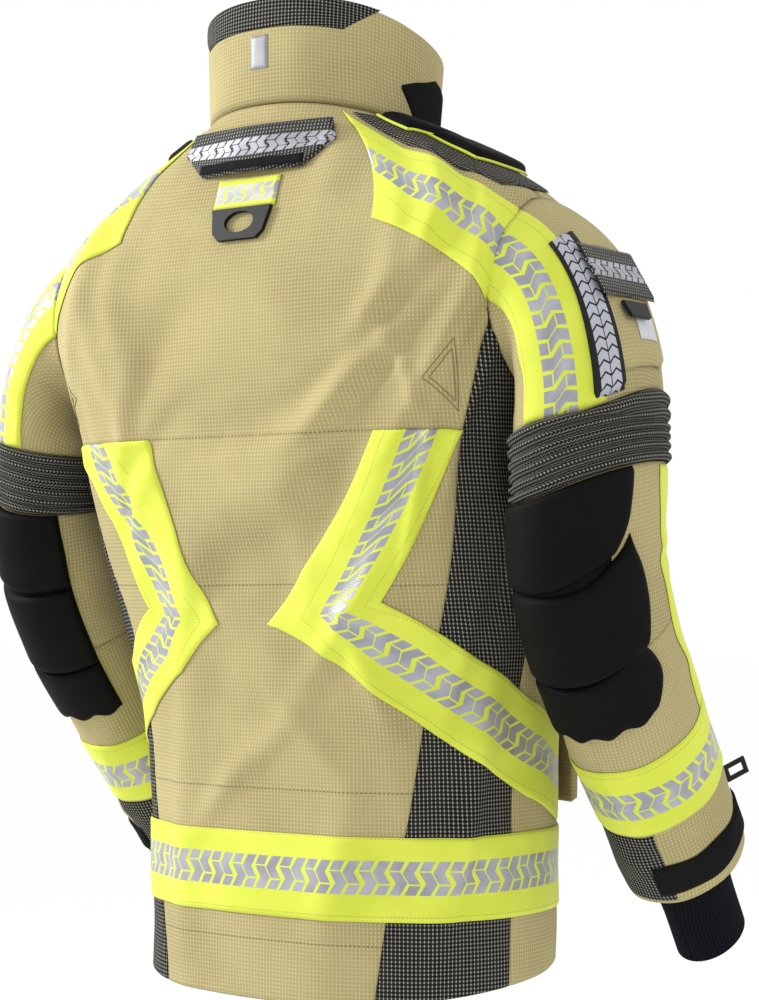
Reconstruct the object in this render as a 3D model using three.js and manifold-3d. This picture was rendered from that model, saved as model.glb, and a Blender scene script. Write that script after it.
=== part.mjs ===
// Turnout coat, hip length, hanging as if worn. Millimetres, +Z up, back of the coat on +Y.
// The wearer's right side is -X. The origin is on the coat's centre line at the level of the back hem.
import * as THREE from 'three';
import { mergeVertices } from 'three/addons/utils/BufferGeometryUtils.js';
import Module from 'manifold-3d';

const wasm = await Module();
wasm.setup();
const { Manifold, Mesh } = wasm;

// Overall sizes
const BODY_WIDTH = 1.0;          // factor on every half width of the body
const BODY_DEPTH = 1.0;          // factor on every front and back depth of the body
const SHELL = 5;                 // outer shell with its membrane
const LINER = 2.5;               // quilted liner
const GAP = 0.3;                 // clearance between sewn layers
const TRIM = 1.4;                // tape and patch thickness
const TAPE = 75;                 // width of the wide reflective tape
const SEAM = 0.2;                // half the clearance along a seam
const NECK_Z = 815;              // collar seam at the back
const HEM_RISE = 36;             // how far the front hem sits above the back hem

// Body: height, half width, depth behind and ahead of the centre, centre offset, squareness, forward drop
const BODY_LEVELS = [
  [0, 203, 150, 146, 0, 2.3, 0],
  [100, 203, 150, 146, 0, 2.3, 0],
  [200, 203, 148, 146, 2, 2.4, 0],
  [300, 209, 146, 146, 8, 2.7, 0],
  [400, 226, 143, 144, 20, 3.3, 0],
  [500, 237, 138, 142, 36, 4.0, 0],
  [570, 262, 133, 138, 46, 4.0, 0],
  [640, 280, 128, 126, 50, 3.8, 0],
  [690, 272, 120, 112, 52, 3.2, 0],
  [725, 245, 110, 106, 52, 2.8, 0.02],
  [755, 207, 102, 102, 50, 2.5, 0.06],
  [780, 168, 98, 99, 48, 2.3, 0.12],
  [800, 133, 97, 97, 47, 2.2, 0.18],
  [NECK_Z, 108, 96, 95, 46, 2.2, 0.24],
];

// Sleeve: centre height, outward distance, depth position, half width, half depth
const SLEEVE_LEVELS = [
  [520, 306, 66, 55, 88],
  [460, 308, 68, 56, 85],
  [400, 303, 62, 58, 80],
  [340, 301, 38, 59, 75],
  [270, 299, -10, 59, 71],
  [200, 297, -63, 57, 68],
  [130, 295, -116, 55, 65],
  [70, 293, -158, 53, 62],
  [0, 291, -206, 52, 60],
];

const ARMHOLE_Y = 50;            // armhole centre
const ARMHOLE_Z = 627;
const ARMHOLE_DEPTH = 96;        // half sizes of the armhole
const ARMHOLE_HEIGHT = 90;
const CAP_END = 515;             // heights on the sleeve's centre line
const BELLOWS_END = 462;
const ELBOW_END = 335;
const CUFF_END = 123;
const WRIST_END = 46;
const RING_TAPE_TOP = 252;
const RING_TAPE_LOW = 192;
const STRAP_TOP = 160;
const STRAP_LOW = 132;
const SLEEVE_SHELL = 4;
const PLEATS = 4;
const PLEAT_DEPTH = 5;
const COLLAR_HEIGHT = 97;
const COLLAR_WALL = 6;
const PAD = 8;                   // elbow and shoulder pad thickness
const FLAP = 2.5;                // flap thickness
const HANGER_BOW = 9;            // how far the hanger loop stands off the collar
const HEM_TAPE_LOW = 76;
const HEM_TAPE_TOP = HEM_TAPE_LOW + TAPE;
const FRONT_HALF = 16;           // half the width of the zip opening
const STORM_HALF = 34;           // half the width of the storm flap
const COLLAR_END = 170;          // turn at which the collar stops beside the throat
const LOOP_HALF = 20;            // half the turn that the hanger loop spans
const CUTTER_REACH = [140, 340]; // where the armhole's cutter starts and ends beside the body

const DEG = Math.PI / 180;
const SLEEVE_STEP = 20;
const BODY_ROWS = [0, 60, 130, 200, 300, 400, 470, 530, 570, 610, 650, 690, 715, 740, 762, 782, 800, NECK_Z];
const SLEEVE_ROWS = [430, 400, 370, 335, 300, 252, 192, 160, 132];

const COLOURS = {
  khaki: 0xd2c28e, dark: 0x2a2b2c, neon: 0xd9ee2c, pad: 0x161617,
  knit: 0x22262c, plastic: 0x101011, liner: 0x8a7a4e, patch: 0xb9bab5,
};

// Smooth value between the rows of a table, without overshoot
function levelValue(table, column, at) {
  const order = table[0][0] < table[table.length - 1][0] ? table : [...table].reverse();
  const last = order.length - 1;
  const x = Math.min(Math.max(at, order[0][0]), order[last][0]);
  let i = 0;
  while (i < last - 1 && x > order[i + 1][0]) i += 1;
  const span = (k) => order[k + 1][0] - order[k][0];
  const rate = (k) => (order[k + 1][column] - order[k][column]) / span(k);
  const slope = (k) => {
    if (k === 0) return rate(0);
    if (k === last) return rate(last - 1);
    const before = rate(k - 1);
    const after = rate(k);
    if (before * after <= 0) return 0;
    const w1 = 2 * span(k) + span(k - 1);
    const w2 = span(k) + 2 * span(k - 1);
    return (w1 + w2) / (w1 / before + w2 / after);
  };
  const t = (x - order[i][0]) / span(i);
  const a = order[i][column];
  const b = order[i + 1][column];
  return a * (2 * t ** 3 - 3 * t ** 2 + 1) + slope(i) * span(i) * (t ** 3 - 2 * t ** 2 + t)
    + b * (3 * t ** 2 - 2 * t ** 3) + slope(i + 1) * span(i) * (t ** 3 - t ** 2);
}

// Point on the body: turn is 0 at the centre back and grows towards the wearer's right
function bodyPoint(turn, height) {
  const square = levelValue(BODY_LEVELS, 5, height);
  const c = Math.cos(turn * DEG);
  const s = Math.sin(turn * DEG);
  const back = levelValue(BODY_LEVELS, 2, height) * BODY_DEPTH;
  const depth = c > 0 ? back : levelValue(BODY_LEVELS, 3, height) * BODY_DEPTH;
  const centre = levelValue(BODY_LEVELS, 4, height);
  const x = -levelValue(BODY_LEVELS, 1, height) * BODY_WIDTH * Math.sign(s) * Math.abs(s) ** (2 / square);
  const y = centre + depth * Math.sign(c) * Math.abs(c) ** (2 / square);
  const z = height - levelValue(BODY_LEVELS, 6, height) * (centre + back - y);
  return new THREE.Vector3(x, y, z);
}

// Half width of the body where its side passes a given depth and height
function bodyHalfWidth(y, height) {
  const square = levelValue(BODY_LEVELS, 5, height);
  const centre = levelValue(BODY_LEVELS, 4, height);
  const column = y > centre ? 2 : 3;
  const depth = levelValue(BODY_LEVELS, column, height) * BODY_DEPTH;
  const share = Math.min(Math.abs(y - centre) / depth, 0.985);
  return levelValue(BODY_LEVELS, 1, height) * BODY_WIDTH * (1 - share ** square) ** (1 / square);
}

// Frame of the sleeve's centre line at a height, for the side: +1 wearer's right, -1 left
function sleeveFrame(side, height) {
  const at = (h) => new THREE.Vector3(
    -side * (levelValue(SLEEVE_LEVELS, 1, h) + 280 * (BODY_WIDTH - 1)),
    levelValue(SLEEVE_LEVELS, 2, h),
    h,
  );
  const centre = at(height);
  const along = at(height - 8).sub(at(height + 8)).normalize();
  const out = new THREE.Vector3(-side, 0, 0);
  out.addScaledVector(along, -out.dot(along)).normalize();
  const back = new THREE.Vector3().crossVectors(along, out).multiplyScalar(side);
  return { centre, along, out, back };
}

// Point on the sleeve: turn is 0 at its back, 90 on the outside, 180 ahead, 270 beside the body
function sleevePoint(side, turn, height, offset) {
  if (height > CAP_END) return capPoint(side, turn, (height - CAP_END) / 100, offset);
  const { centre, out, back } = sleeveFrame(side, height);
  const c = Math.cos(turn * DEG);
  const s = Math.sin(turn * DEG);
  const halfWidth = levelValue(SLEEVE_LEVELS, 3, height) + offset;
  const halfDepth = levelValue(SLEEVE_LEVELS, 4, height) + offset;
  return centre.clone().addScaledVector(out, s * halfWidth).addScaledVector(back, c * halfDepth);
}

// Sleeve cap: share is 0 at the upper arm and 1 at the armhole seam
function capPoint(side, turn, share, offset) {
  const c = Math.cos(turn * DEG);
  const s = Math.sin(turn * DEG);
  const y = ARMHOLE_Y + (ARMHOLE_DEPTH + offset) * c;
  const z = ARMHOLE_Z + (ARMHOLE_HEIGHT + offset) * s;
  const start = new THREE.Vector3(-side * (bodyHalfWidth(y, z) + 2 * GAP), y, z);
  const end = sleevePoint(side, turn, CAP_END, offset);
  const reach = start.distanceTo(end);
  const drop = 0.22 + 0.28 * Math.max(s, 0);
  const leave = new THREE.Vector3(-side, 0, -drop).normalize().multiplyScalar(reach * 1.1);
  const arrive = sleeveFrame(side, CAP_END).along.clone().multiplyScalar(reach * 0.9);
  const t = 1 - share;
  return start.multiplyScalar(2 * t ** 3 - 3 * t ** 2 + 1)
    .addScaledVector(leave, t ** 3 - 2 * t ** 2 + t)
    .addScaledVector(end, 3 * t ** 2 - 2 * t ** 3)
    .addScaledVector(arrive, t ** 3 - t ** 2);
}

function bodyNormal(turn, height) {
  const across = bodyPoint(turn + 0.6, height).sub(bodyPoint(turn - 0.6, height));
  const up = bodyPoint(turn, Math.min(height + 3, NECK_Z)).sub(bodyPoint(turn, height - 3));
  const normal = new THREE.Vector3().crossVectors(up, across).normalize();
  const centre = new THREE.Vector3(0, 40, height - 60);
  return normal.dot(bodyPoint(turn, height).sub(centre)) < 0 ? normal.negate() : normal;
}

function onBody(turn, height, offset) {
  return bodyPoint(turn, height).addScaledVector(bodyNormal(turn, height), offset);
}

// Closed solid between an inner and an outer grid of points; point(i, j, layer) gives each one
function gridSolid(columns, rows, closed, point) {
  const across = closed ? columns : columns + 1;
  const positions = [];
  for (let layer = 0; layer < 2; layer += 1) {
    for (let j = 0; j <= rows; j += 1) {
      for (let i = 0; i < across; i += 1) positions.push(...point(i, j, layer).toArray());
    }
  }
  const layerSize = across * (rows + 1);
  const id = (i, j, layer) => layer * layerSize + j * across + (i % across);
  const faces = [];
  const quad = (a, b, c, d) => faces.push(a, b, c, a, c, d);
  for (let j = 0; j < rows; j += 1) {
    for (let i = 0; i < columns; i += 1) {
      quad(id(i, j, 0), id(i + 1, j, 0), id(i + 1, j + 1, 0), id(i, j + 1, 0));
      quad(id(i, j + 1, 1), id(i + 1, j + 1, 1), id(i + 1, j, 1), id(i, j, 1));
    }
  }
  for (let i = 0; i < columns; i += 1) {
    quad(id(i, 0, 1), id(i + 1, 0, 1), id(i + 1, 0, 0), id(i, 0, 0));
    quad(id(i, rows, 0), id(i + 1, rows, 0), id(i + 1, rows, 1), id(i, rows, 1));
  }
  for (let j = 0; !closed && j < rows; j += 1) {
    quad(id(0, j, 0), id(0, j + 1, 0), id(0, j + 1, 1), id(0, j, 1));
    quad(id(columns, j, 1), id(columns, j + 1, 1), id(columns, j + 1, 0), id(columns, j, 0));
  }
  const geometry = new THREE.BufferGeometry();
  geometry.setAttribute('position', new THREE.Float32BufferAttribute(positions, 3));
  geometry.setIndex(volumeOf(positions, faces) < 0 ? flipped(faces) : faces);
  return geometry;
}

function volumeOf(positions, faces) {
  const vertex = (k) => new THREE.Vector3().fromArray(positions, 3 * faces[k]);
  let sum = 0;
  for (let k = 0; k < faces.length; k += 3) sum += vertex(k).dot(vertex(k + 1).cross(vertex(k + 2)));
  return sum;
}

function flipped(faces) {
  const result = [];
  for (let k = 0; k < faces.length; k += 3) result.push(faces[k], faces[k + 2], faces[k + 1]);
  return result;
}

// Even steps from one value to another, with the lattice values that fall between them
function steps(from, to, count) {
  return Array.from({ length: count + 1 }, (_, k) => from + (to - from) * k / count);
}

function latticeSteps(from, to, lattice) {
  const low = Math.min(from, to);
  const high = Math.max(from, to);
  const inside = lattice.filter((value) => value > low + 1.5 && value < high - 1.5).sort((a, b) => a - b);
  const ordered = [low, ...inside, high];
  return from <= to ? ordered : ordered.reverse();
}

// Patch of the body between two edges, each a function of height, and a list of heights
function bodyPatch(leftEdge, rightEdge, heights, columns, inner, outer, lift = () => 0) {
  return gridSolid(columns, heights.length - 1, false, (i, j, layer) => {
    const height = heights[j];
    const left = leftEdge(height);
    const turn = left + (rightEdge(height) - left) * i / columns;
    const raised = j === 0 ? lift(turn) : 0;
    return onBody(turn, height + raised, layer === 0 ? outer : inner);
  });
}

const CAP_ROWS = steps(CAP_END + 100, CAP_END, 6);

function sleevePatch(side, turnFrom, turnTo, top, low, inner, outer) {
  const lattice = Array.from({ length: 40 }, (_, k) => k * SLEEVE_STEP - 180);
  const turns = latticeSteps(turnFrom, turnTo, lattice);
  const heights = latticeSteps(top, low, [...SLEEVE_ROWS, ...CAP_ROWS]);
  return gridSolid(turns.length - 1, heights.length - 1, false, (i, j, layer) => (
    sleevePoint(side, turns[i], heights[j], layer === 0 ? outer : inner)
  ));
}

function sleeveTube(side, heights, inner, outer, swell = () => 0) {
  const columns = 360 / SLEEVE_STEP;
  return gridSolid(columns, heights.length - 1, true, (i, j, layer) => (
    sleevePoint(side, i * SLEEVE_STEP, heights[j], layer === 0 ? outer + swell(j) : inner)
  ));
}

function toManifold(geometry) {
  return new Manifold(new Mesh({
    numProp: 3,
    vertProperties: new Float32Array(geometry.attributes.position.array),
    triVerts: new Uint32Array(geometry.index.array),
  }));
}

function fromManifold(solid) {
  const mesh = solid.getMesh();
  const geometry = new THREE.BufferGeometry();
  geometry.setAttribute('position', new THREE.Float32BufferAttribute(mesh.vertProperties, 3));
  geometry.setIndex(Array.from(mesh.triVerts));
  return geometry;
}

// Plug through the side of the body in the shape of the armhole
function armholeCore(side) {
  const columns = 24;
  const positions = [];
  const faces = [];
  for (const x of CUTTER_REACH) {
    for (let i = 0; i < columns; i += 1) {
      const turn = i * 2 * Math.PI / columns;
      positions.push(-side * x, ARMHOLE_Y + ARMHOLE_DEPTH * Math.cos(turn), ARMHOLE_Z + ARMHOLE_HEIGHT * Math.sin(turn));
    }
  }
  for (let i = 1; i < columns - 1; i += 1) {
    faces.push(0, i, i + 1, columns, columns + i + 1, columns + i);
  }
  for (let i = 0; i < columns; i += 1) {
    const next = (i + 1) % columns;
    faces.push(i, columns + i, next, next, columns + i, columns + next);
  }
  const geometry = new THREE.BufferGeometry();
  geometry.setAttribute('position', new THREE.Float32BufferAttribute(positions, 3));
  geometry.setIndex(volumeOf(positions, faces) < 0 ? flipped(faces) : faces);
  return geometry;
}

const coat = new THREE.Group();
coat.name = 'turnout_coat';

function add(name, geometry, colour) {
  const material = new THREE.MeshStandardMaterial({ color: COLOURS[colour], roughness: 0.85 });
  const mesh = new THREE.Mesh(geometry, material);
  mesh.name = name;
  coat.add(mesh);
}

function addCut(name, geometry, colour, cutters) {
  let solid = toManifold(geometry);
  for (const cutter of cutters) solid = solid.subtract(toManifold(cutter));
  add(name, fromManifold(solid), colour);
}

// Turn of the back panel's seam at a height
const SEAM_TURNS = [
  [0, 33], [80, 37], [160, 43], [250, 48], [330, 52], [430, 56], [516, 58], [570, 58], [610, 60], [690, 90], [820, 90],
];
const SIDE_TURNS = [[0, 80], [250, 84], [430, 92], [530, 104], [570, 112], [610, 114], [690, 90], [820, 90]];
const seamTurn = (height) => levelValue(SEAM_TURNS, 1, height);
const sideTurn = (height) => levelValue(SIDE_TURNS, 1, height);
const hemLift = (turn) => HEM_RISE * (1 - Math.cos(turn * DEG)) / 2;

// Turn at which the front of the body is a given distance from its centre line
function frontTurn(half, height) {
  const square = levelValue(BODY_LEVELS, 5, height);
  const width = levelValue(BODY_LEVELS, 1, height) * BODY_WIDTH;
  return 180 - Math.asin((half / width) ** (square / 2)) / DEG;
}

// Flat plate between four edges lines: corners run anticlockwise seen from outside
function plate(corners, thickness) {
  const [a, b, , d] = corners;
  const normal = b.clone().sub(a).cross(d.clone().sub(a)).normalize();
  const count = corners.length;
  const positions = [];
  for (const depth of [thickness, 0]) {
    for (const corner of corners) positions.push(...corner.clone().addScaledVector(normal, depth).toArray());
  }
  const faces = [];
  for (let k = 1; k < count - 1; k += 1) faces.push(0, k, k + 1, count, count + k + 1, count + k);
  for (let k = 0; k < count; k += 1) {
    const next = (k + 1) % count;
    faces.push(k, count + k, next, next, count + k, count + next);
  }
  const geometry = new THREE.BufferGeometry();
  geometry.setAttribute('position', new THREE.Float32BufferAttribute(positions, 3));
  geometry.setIndex(volumeOf(positions, faces) < 0 ? flipped(faces) : faces);
  return geometry;
}

// Strip on the body between two polylines of [turn, height] with the same number of points
function bodyRibbon(edgeA, edgeB, perPiece, across, inner, outer) {
  const pieces = edgeA.length - 1;
  const along = (edge, share) => {
    const k = Math.min(Math.floor(share), pieces - 1);
    const t = share - k;
    return [edge[k][0] + (edge[k + 1][0] - edge[k][0]) * t, edge[k][1] + (edge[k + 1][1] - edge[k][1]) * t];
  };
  return gridSolid(pieces * perPiece, across, false, (i, j, layer) => {
    const a = along(edgeA, i / perPiece);
    const b = along(edgeB, i / perPiece);
    const t = j / across;
    return onBody(a[0] + (b[0] - a[0]) * t, a[1] + (b[1] - a[1]) * t, layer === 0 ? outer : inner);
  });
}

const mirrored = (edge) => edge.map(([turn, height]) => [-turn, height]);
const TRIM_IN = 3 * GAP;
const TRIM_OUT = TRIM_IN + TRIM;
const CHEVRON_IN = 6 * GAP;        // slanting tapes bridge the facets of the body's corners
const LINER_IN = SHELL + 2.5;      // depth of the liner's face under the outside of the shell
const SIDE_ROWS = BODY_ROWS.filter((height) => height <= 570);
const sides = [['right', 1], ['left', -1]];

function addBodyPanels() {
  const cutters = [armholeCore(1), armholeCore(-1)];
  const backEdges = [(h) => SEAM - seamTurn(h), (h) => seamTurn(h) - SEAM];
  addCut('back_panel', bodyPatch(...backEdges, BODY_ROWS, 14, -SHELL, 0, hemLift), 'khaki', cutters);
  for (const [name, side] of sides) {
    const sideEdges = [(h) => side * (seamTurn(h) + SEAM), (h) => side * (sideTurn(h) - SEAM)];
    const frontEdges = [(h) => side * (sideTurn(h) + SEAM), (h) => side * frontTurn(FRONT_HALF, h)];
    addCut(`side_panel_${name}`, bodyPatch(...sideEdges, SIDE_ROWS, 5, -SHELL, 0, hemLift), 'dark', cutters);
    addCut(`front_panel_${name}`, bodyPatch(...frontEdges, BODY_ROWS, 8, -SHELL, 0, hemLift), 'khaki', cutters);
  }
  const linerEdge = (h) => frontTurn(FRONT_HALF + 14, h);
  const linerRows = BODY_ROWS.filter((h) => h < 810 && h > 0);
  const liner = bodyPatch((h) => -linerEdge(h), linerEdge, linerRows, 18, -LINER_IN - LINER, -LINER_IN);
  addCut('liner', liner, 'liner', cutters);
}

function addHemTape() {
  const end = (h) => frontTurn(STORM_HALF + 3, h);
  const rows = [HEM_TAPE_LOW, (HEM_TAPE_LOW + HEM_TAPE_TOP) / 2, HEM_TAPE_TOP];
  add('hem_tape', bodyPatch((h) => -end(h), end, rows, 36, TRIM_IN, TRIM_OUT), 'neon');
}

function addChevronTapes() {
  for (const [name, side] of sides) {
    const turn = (edge) => (side > 0 ? edge : mirrored(edge));
    const low = turn([[23, 509], [12, 424], [1.5, 339], [25, 294], [48, 249], [64, 221], [100, 164], [108, 155]]);
    const high = turn([[57, 509], [44, 435], [31, 360], [43, 344], [55, 328], [80, 290], [98, 250], [106, 235]]);
    add(`chevron_tape_${name}`, bodyRibbon(low, high, 3, 4, CHEVRON_IN, CHEVRON_IN + TRIM), 'neon');
  }
}

function addShoulders() {
  for (const [name, side] of sides) {
    const turn = (edge) => (side > 0 ? edge : mirrored(edge));
    const inner = turn([[38, 808], [29, 750], [22, 695], [36, 666], [50, 636]]);
    const outer = turn([[43, 808], [44, 787], [46, 764], [57, 738], [64, 716]]);
    add(`shoulder_tape_${name}`, bodyRibbon(inner, outer, 4, 4, TRIM_IN, TRIM_OUT), 'neon');
    const back = turn([[45, 808], [47, 785], [49, 766], [60, 741], [72, 724]]);
    const front = turn([[112, 808], [112, 790], [114, 772], [112, 750], [108, 733]]);
    add(`shoulder_piece_${name}`, bodyRibbon(back, front, 3, 6, TRIM_IN, TRIM_OUT), 'dark');
    const padIn = TRIM_OUT + 4 * GAP;
    const innerPad = [turn([[55, 803], [57, 785]]), turn([[105, 803], [105, 785]])];
    add(`shoulder_pad_inner_${name}`, bodyRibbon(...innerPad, 3, 6, padIn, padIn + PAD), 'pad');
    const outerPad = [turn([[66, 782], [72, 752]]), turn([[107, 782], [107, 752]])];
    add(`shoulder_pad_outer_${name}`, bodyRibbon(...outerPad, 3, 6, padIn, padIn + PAD), 'pad');
  }
}

// Collar: a standing band that follows the neck line and leaves a gap at the throat
function collarPoint(turn, share, offset) {
  const base = bodyPoint(turn, NECK_Z);
  const centre = new THREE.Vector3(0, levelValue(BODY_LEVELS, 4, NECK_Z), base.z);
  const out = base.clone().sub(centre).normalize();
  const flare = 1 + 5 * share;
  const front = (1 - Math.cos(turn * DEG)) / 2;
  return base.addScaledVector(out, offset + flare)
    .add(new THREE.Vector3(0, -4 * share, 3 * GAP + share * (COLLAR_HEIGHT - 12 * front)));
}

function collarPatch(from, to, shares, columns, inner, outer) {
  return gridSolid(columns, shares.length - 1, false, (i, j, layer) => (
    collarPoint(from + (to - from) * i / columns, shares[j], layer === 0 ? outer : inner)
  ));
}

function addCollar() {
  add('collar', collarPatch(-COLLAR_END, COLLAR_END, [0, 0.35, 0.68, 1], 34, -COLLAR_WALL, 0), 'khaki');
  add('collar_loop_patch', collarPatch(112, 152, [0.08, 0.62], 8, GAP, GAP + TRIM), 'pad');
  const tab = collarPatch(-156, -204, [0.16, 0.4, 0.6], 8, 2 * GAP, 2 * GAP + FLAP);
  add('throat_tab', tab, 'dark');
  add('hanger_loop', gridSolid(8, 1, false, (i, j, layer) => {
    const turn = -LOOP_HALF + 2 * LOOP_HALF * i / 8;
    const bow = GAP + HANGER_BOW * Math.cos(turn / LOOP_HALF * Math.PI / 2);
    return collarPoint(turn, j === 0 ? 0.2 : 0.3, -COLLAR_WALL - bow - (layer === 0 ? 0 : 1.6));
  }), 'plastic');
}

const FLAP_TOP = 796;
const FLAP_LOW = 749;

// Flat piece that hangs on the back: a trapezium between two heights, standing clear of the cloth
function backPlate(topHalf, lowHalf, topHeight, lowHeight, inner, thickness) {
  const top = onBody(0, topHeight, inner);
  const low = onBody(0, lowHeight, inner);
  const corner = (x, base) => new THREE.Vector3(x, base.y, base.z);
  return plate([corner(-topHalf, top), corner(topHalf, top), corner(lowHalf, low), corner(-lowHalf, low)], thickness);
}

function addDragRescue() {
  const slope = 10;
  const top = onBody(0, FLAP_TOP, 3 * GAP);
  const low = onBody(0, FLAP_LOW, 7);
  const flapAt = (x, share) => new THREE.Vector3(
    x, top.y + (low.y - top.y) * share - slope * Math.max(0, Math.abs(x) / 72 - 0.2), top.z + (low.z - top.z) * share,
  );
  const rows = [[0, 66], [0.45, 74], [1, 54]];
  add('yoke_flap', gridSolid(6, 2, false, (i, j, layer) => {
    const [share, half] = rows[j];
    const point = flapAt(-half + half * i / 3, share);
    return point.add(new THREE.Vector3(0, layer === 0 ? FLAP : 0, layer === 0 ? FLAP : 0));
  }), 'dark');
  const tabHalf = 36;
  const tabLow = 717;
  add('drag_tab', backPlate(tabHalf, tabHalf - 1, FLAP_LOW - 3, tabLow, 3 * GAP, 2.2), 'neon');
  const shape = new THREE.Shape([[-29, -24], [-22, -31], [22, -31], [29, -24], [34, 0], [-34, 0]]
    .map(([x, y]) => new THREE.Vector2(x, y)));
  const around = Array.from({ length: 16 }, (_, k) => -k * Math.PI / 8);
  const hole = new THREE.Path(around.map((a) => new THREE.Vector2(17 * Math.cos(a), -14 + 10.5 * Math.sin(a))));
  shape.holes.push(hole);
  const handle = new THREE.ExtrudeGeometry(shape, { depth: 4, bevelEnabled: false, curveSegments: 10 });
  handle.deleteAttribute('normal');
  handle.deleteAttribute('uv');
  const base = onBody(0, tabLow, 1);
  const down = onBody(0, tabLow - 30, 1).sub(base);
  handle.rotateX(Math.PI / 2 - Math.atan2(down.y, -down.z));
  handle.rotateZ(Math.PI);
  handle.translate(0, base.y + GAP, base.z - 2 * GAP);
  add('drag_handle', mergeVertices(handle, 1e-3), 'plastic');
}

function addSleeve(name, side) {
  add(`sleeve_cap_${name}`, sleeveTube(side, CAP_ROWS, -SLEEVE_SHELL, 0), 'khaki');
  const bellowsRows = steps(CAP_END - 0.5, BELLOWS_END + 0.5, 2 * PLEATS);
  const pleat = (j) => (j % 2 === 0 ? 1 : 1 + PLEAT_DEPTH);
  add(`bellows_${name}`, sleeveTube(side, bellowsRows, -SLEEVE_SHELL, 0, pleat), 'dark');
  const elbowRows = [BELLOWS_END, 430, 400, 370, ELBOW_END + 0.5];
  add(`elbow_section_${name}`, sleeveTube(side, elbowRows, -SLEEVE_SHELL, 0), 'khaki');
  const foreRows = [ELBOW_END, 300, RING_TAPE_TOP, RING_TAPE_LOW, STRAP_TOP, STRAP_LOW, CUFF_END];
  add(`forearm_${name}`, sleeveTube(side, foreRows, -SLEEVE_SHELL, 0), 'khaki');
  add(`wristlet_${name}`, wristletTube(side), 'knit');
}

// Knitted wristlet: sewn inside the cuff, then narrowing to grip the wrist
function wristletTube(side) {
  const rows = [[CUFF_END + 12, -SLEEVE_SHELL - 0.8], [CUFF_END + 2, -SLEEVE_SHELL - 3], [CUFF_END - 8, -21],
    [(CUFF_END + WRIST_END) / 2, -22], [WRIST_END, -21]];
  return gridSolid(360 / SLEEVE_STEP, rows.length - 1, true, (i, j, layer) => (
    sleevePoint(side, i * SLEEVE_STEP, rows[j][0], rows[j][1] - (layer === 0 ? 0 : 2.5))
  ));
}

function addSleeveTrims(name, side) {
  const patch = (from, to, top, low, inner, outer) => sleevePatch(side, from, to, top, low, inner, outer);
  const inside = 2 * GAP;
  add(`sleeve_tape_${name}`, patch(-6, 54, CAP_END + 99, CAP_END + 1, inside, inside + TRIM), 'neon');
  add(`front_tape_${name}`, patch(108, 132, BELLOWS_END - 2, RING_TAPE_TOP + 1, inside, inside + TRIM), 'neon');
  const padRows = [[456, 390], [388, 317], [315, 268]];
  padRows.forEach(([top, low], k) => {
    add(`elbow_pad_${k + 1}_${name}`, patch(-45, 84 - 4 * k, top, low, inside, inside + PAD), 'pad');
  });
  const ring = sleeveTube(side, [RING_TAPE_TOP, RING_TAPE_LOW], inside, inside + TRIM);
  add(`forearm_tape_${name}`, ring, 'neon');
  add(`cuff_strap_${name}`, patch(8, 135, STRAP_TOP, STRAP_LOW, inside, inside + FLAP), 'pad');
  add(`cuff_ring_${name}`, cuffRing(side), 'plastic');
}

function cuffRing(side) {
  const shape = new THREE.Shape([[-11, -9], [11, -9], [11, 9], [-11, 9]].map(([x, y]) => new THREE.Vector2(x, y)));
  const inner = [[-7, -5], [-7, 5], [7, 5], [7, -5]].map(([x, y]) => new THREE.Vector2(x, y));
  shape.holes.push(new THREE.Path(inner));
  const ring = new THREE.ExtrudeGeometry(shape, { depth: 2.5, bevelEnabled: false });
  ring.deleteAttribute('normal');
  ring.deleteAttribute('uv');
  const merged = mergeVertices(ring, 1e-3);
  const height = STRAP_TOP + 12;
  const spot = sleevePoint(side, 135, height, 0);
  const { along, centre } = sleeveFrame(side, height);
  const out = spot.clone().sub(centre).normalize();
  const across = new THREE.Vector3().crossVectors(out, along);
  const basis = new THREE.Matrix4().makeBasis(out, along, across);
  basis.setPosition(spot.addScaledVector(out, 11 + GAP).addScaledVector(across, -1.25));
  return merged.applyMatrix4(basis);
}

// Pocket on the outside of the wearer's right upper arm, with a stiff flap hinged along its top
const POCKET_TURN = 88;
const POCKET_DEPTH = 7;
const POCKET_LOW = CAP_END + 12;
const POCKET_TOP = CAP_END + 56;

function addSleevePocket() {
  const side = 1;
  const body = sleevePatch(side, 57, 117, POCKET_TOP + 12, POCKET_LOW, 9 * GAP, POCKET_DEPTH);
  add('sleeve_pocket', body, 'khaki');
  const patch = sleevePatch(side, 88, 108, POCKET_TOP - 18, POCKET_LOW + 12, POCKET_DEPTH + 2 * GAP, POCKET_DEPTH + 2 * GAP + TRIM);
  add('sleeve_label_patch', patch, 'patch');
  const top = sleevePoint(side, POCKET_TURN, POCKET_TOP + 9, POCKET_DEPTH + 2 * GAP);
  const low = sleevePoint(side, POCKET_TURN, POCKET_TOP - 14, POCKET_DEPTH + 4 * GAP + TRIM);
  const half = 44;
  const flapCorner = (base, y) => new THREE.Vector3(base.x, base.y + y, base.z);
  const corners = [flapCorner(top, half), flapCorner(top, -half), flapCorner(low, -half), flapCorner(low, half)];
  add('sleeve_pocket_flap', plate(corners, -FLAP), 'dark');
  const grip = low.clone().sub(top).normalize();
  const gripCorner = (base, y, drop) => base.clone().addScaledVector(grip, drop).add(new THREE.Vector3(0, y, 0));
  const gripPlate = [gripCorner(low, 20, 0.4), gripCorner(low, -20, 0.4), gripCorner(low, -16, 16), gripCorner(low, 16, 16)];
  add('sleeve_pocket_grip', plate(gripPlate, -FLAP - 1), 'plastic');
}

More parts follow.
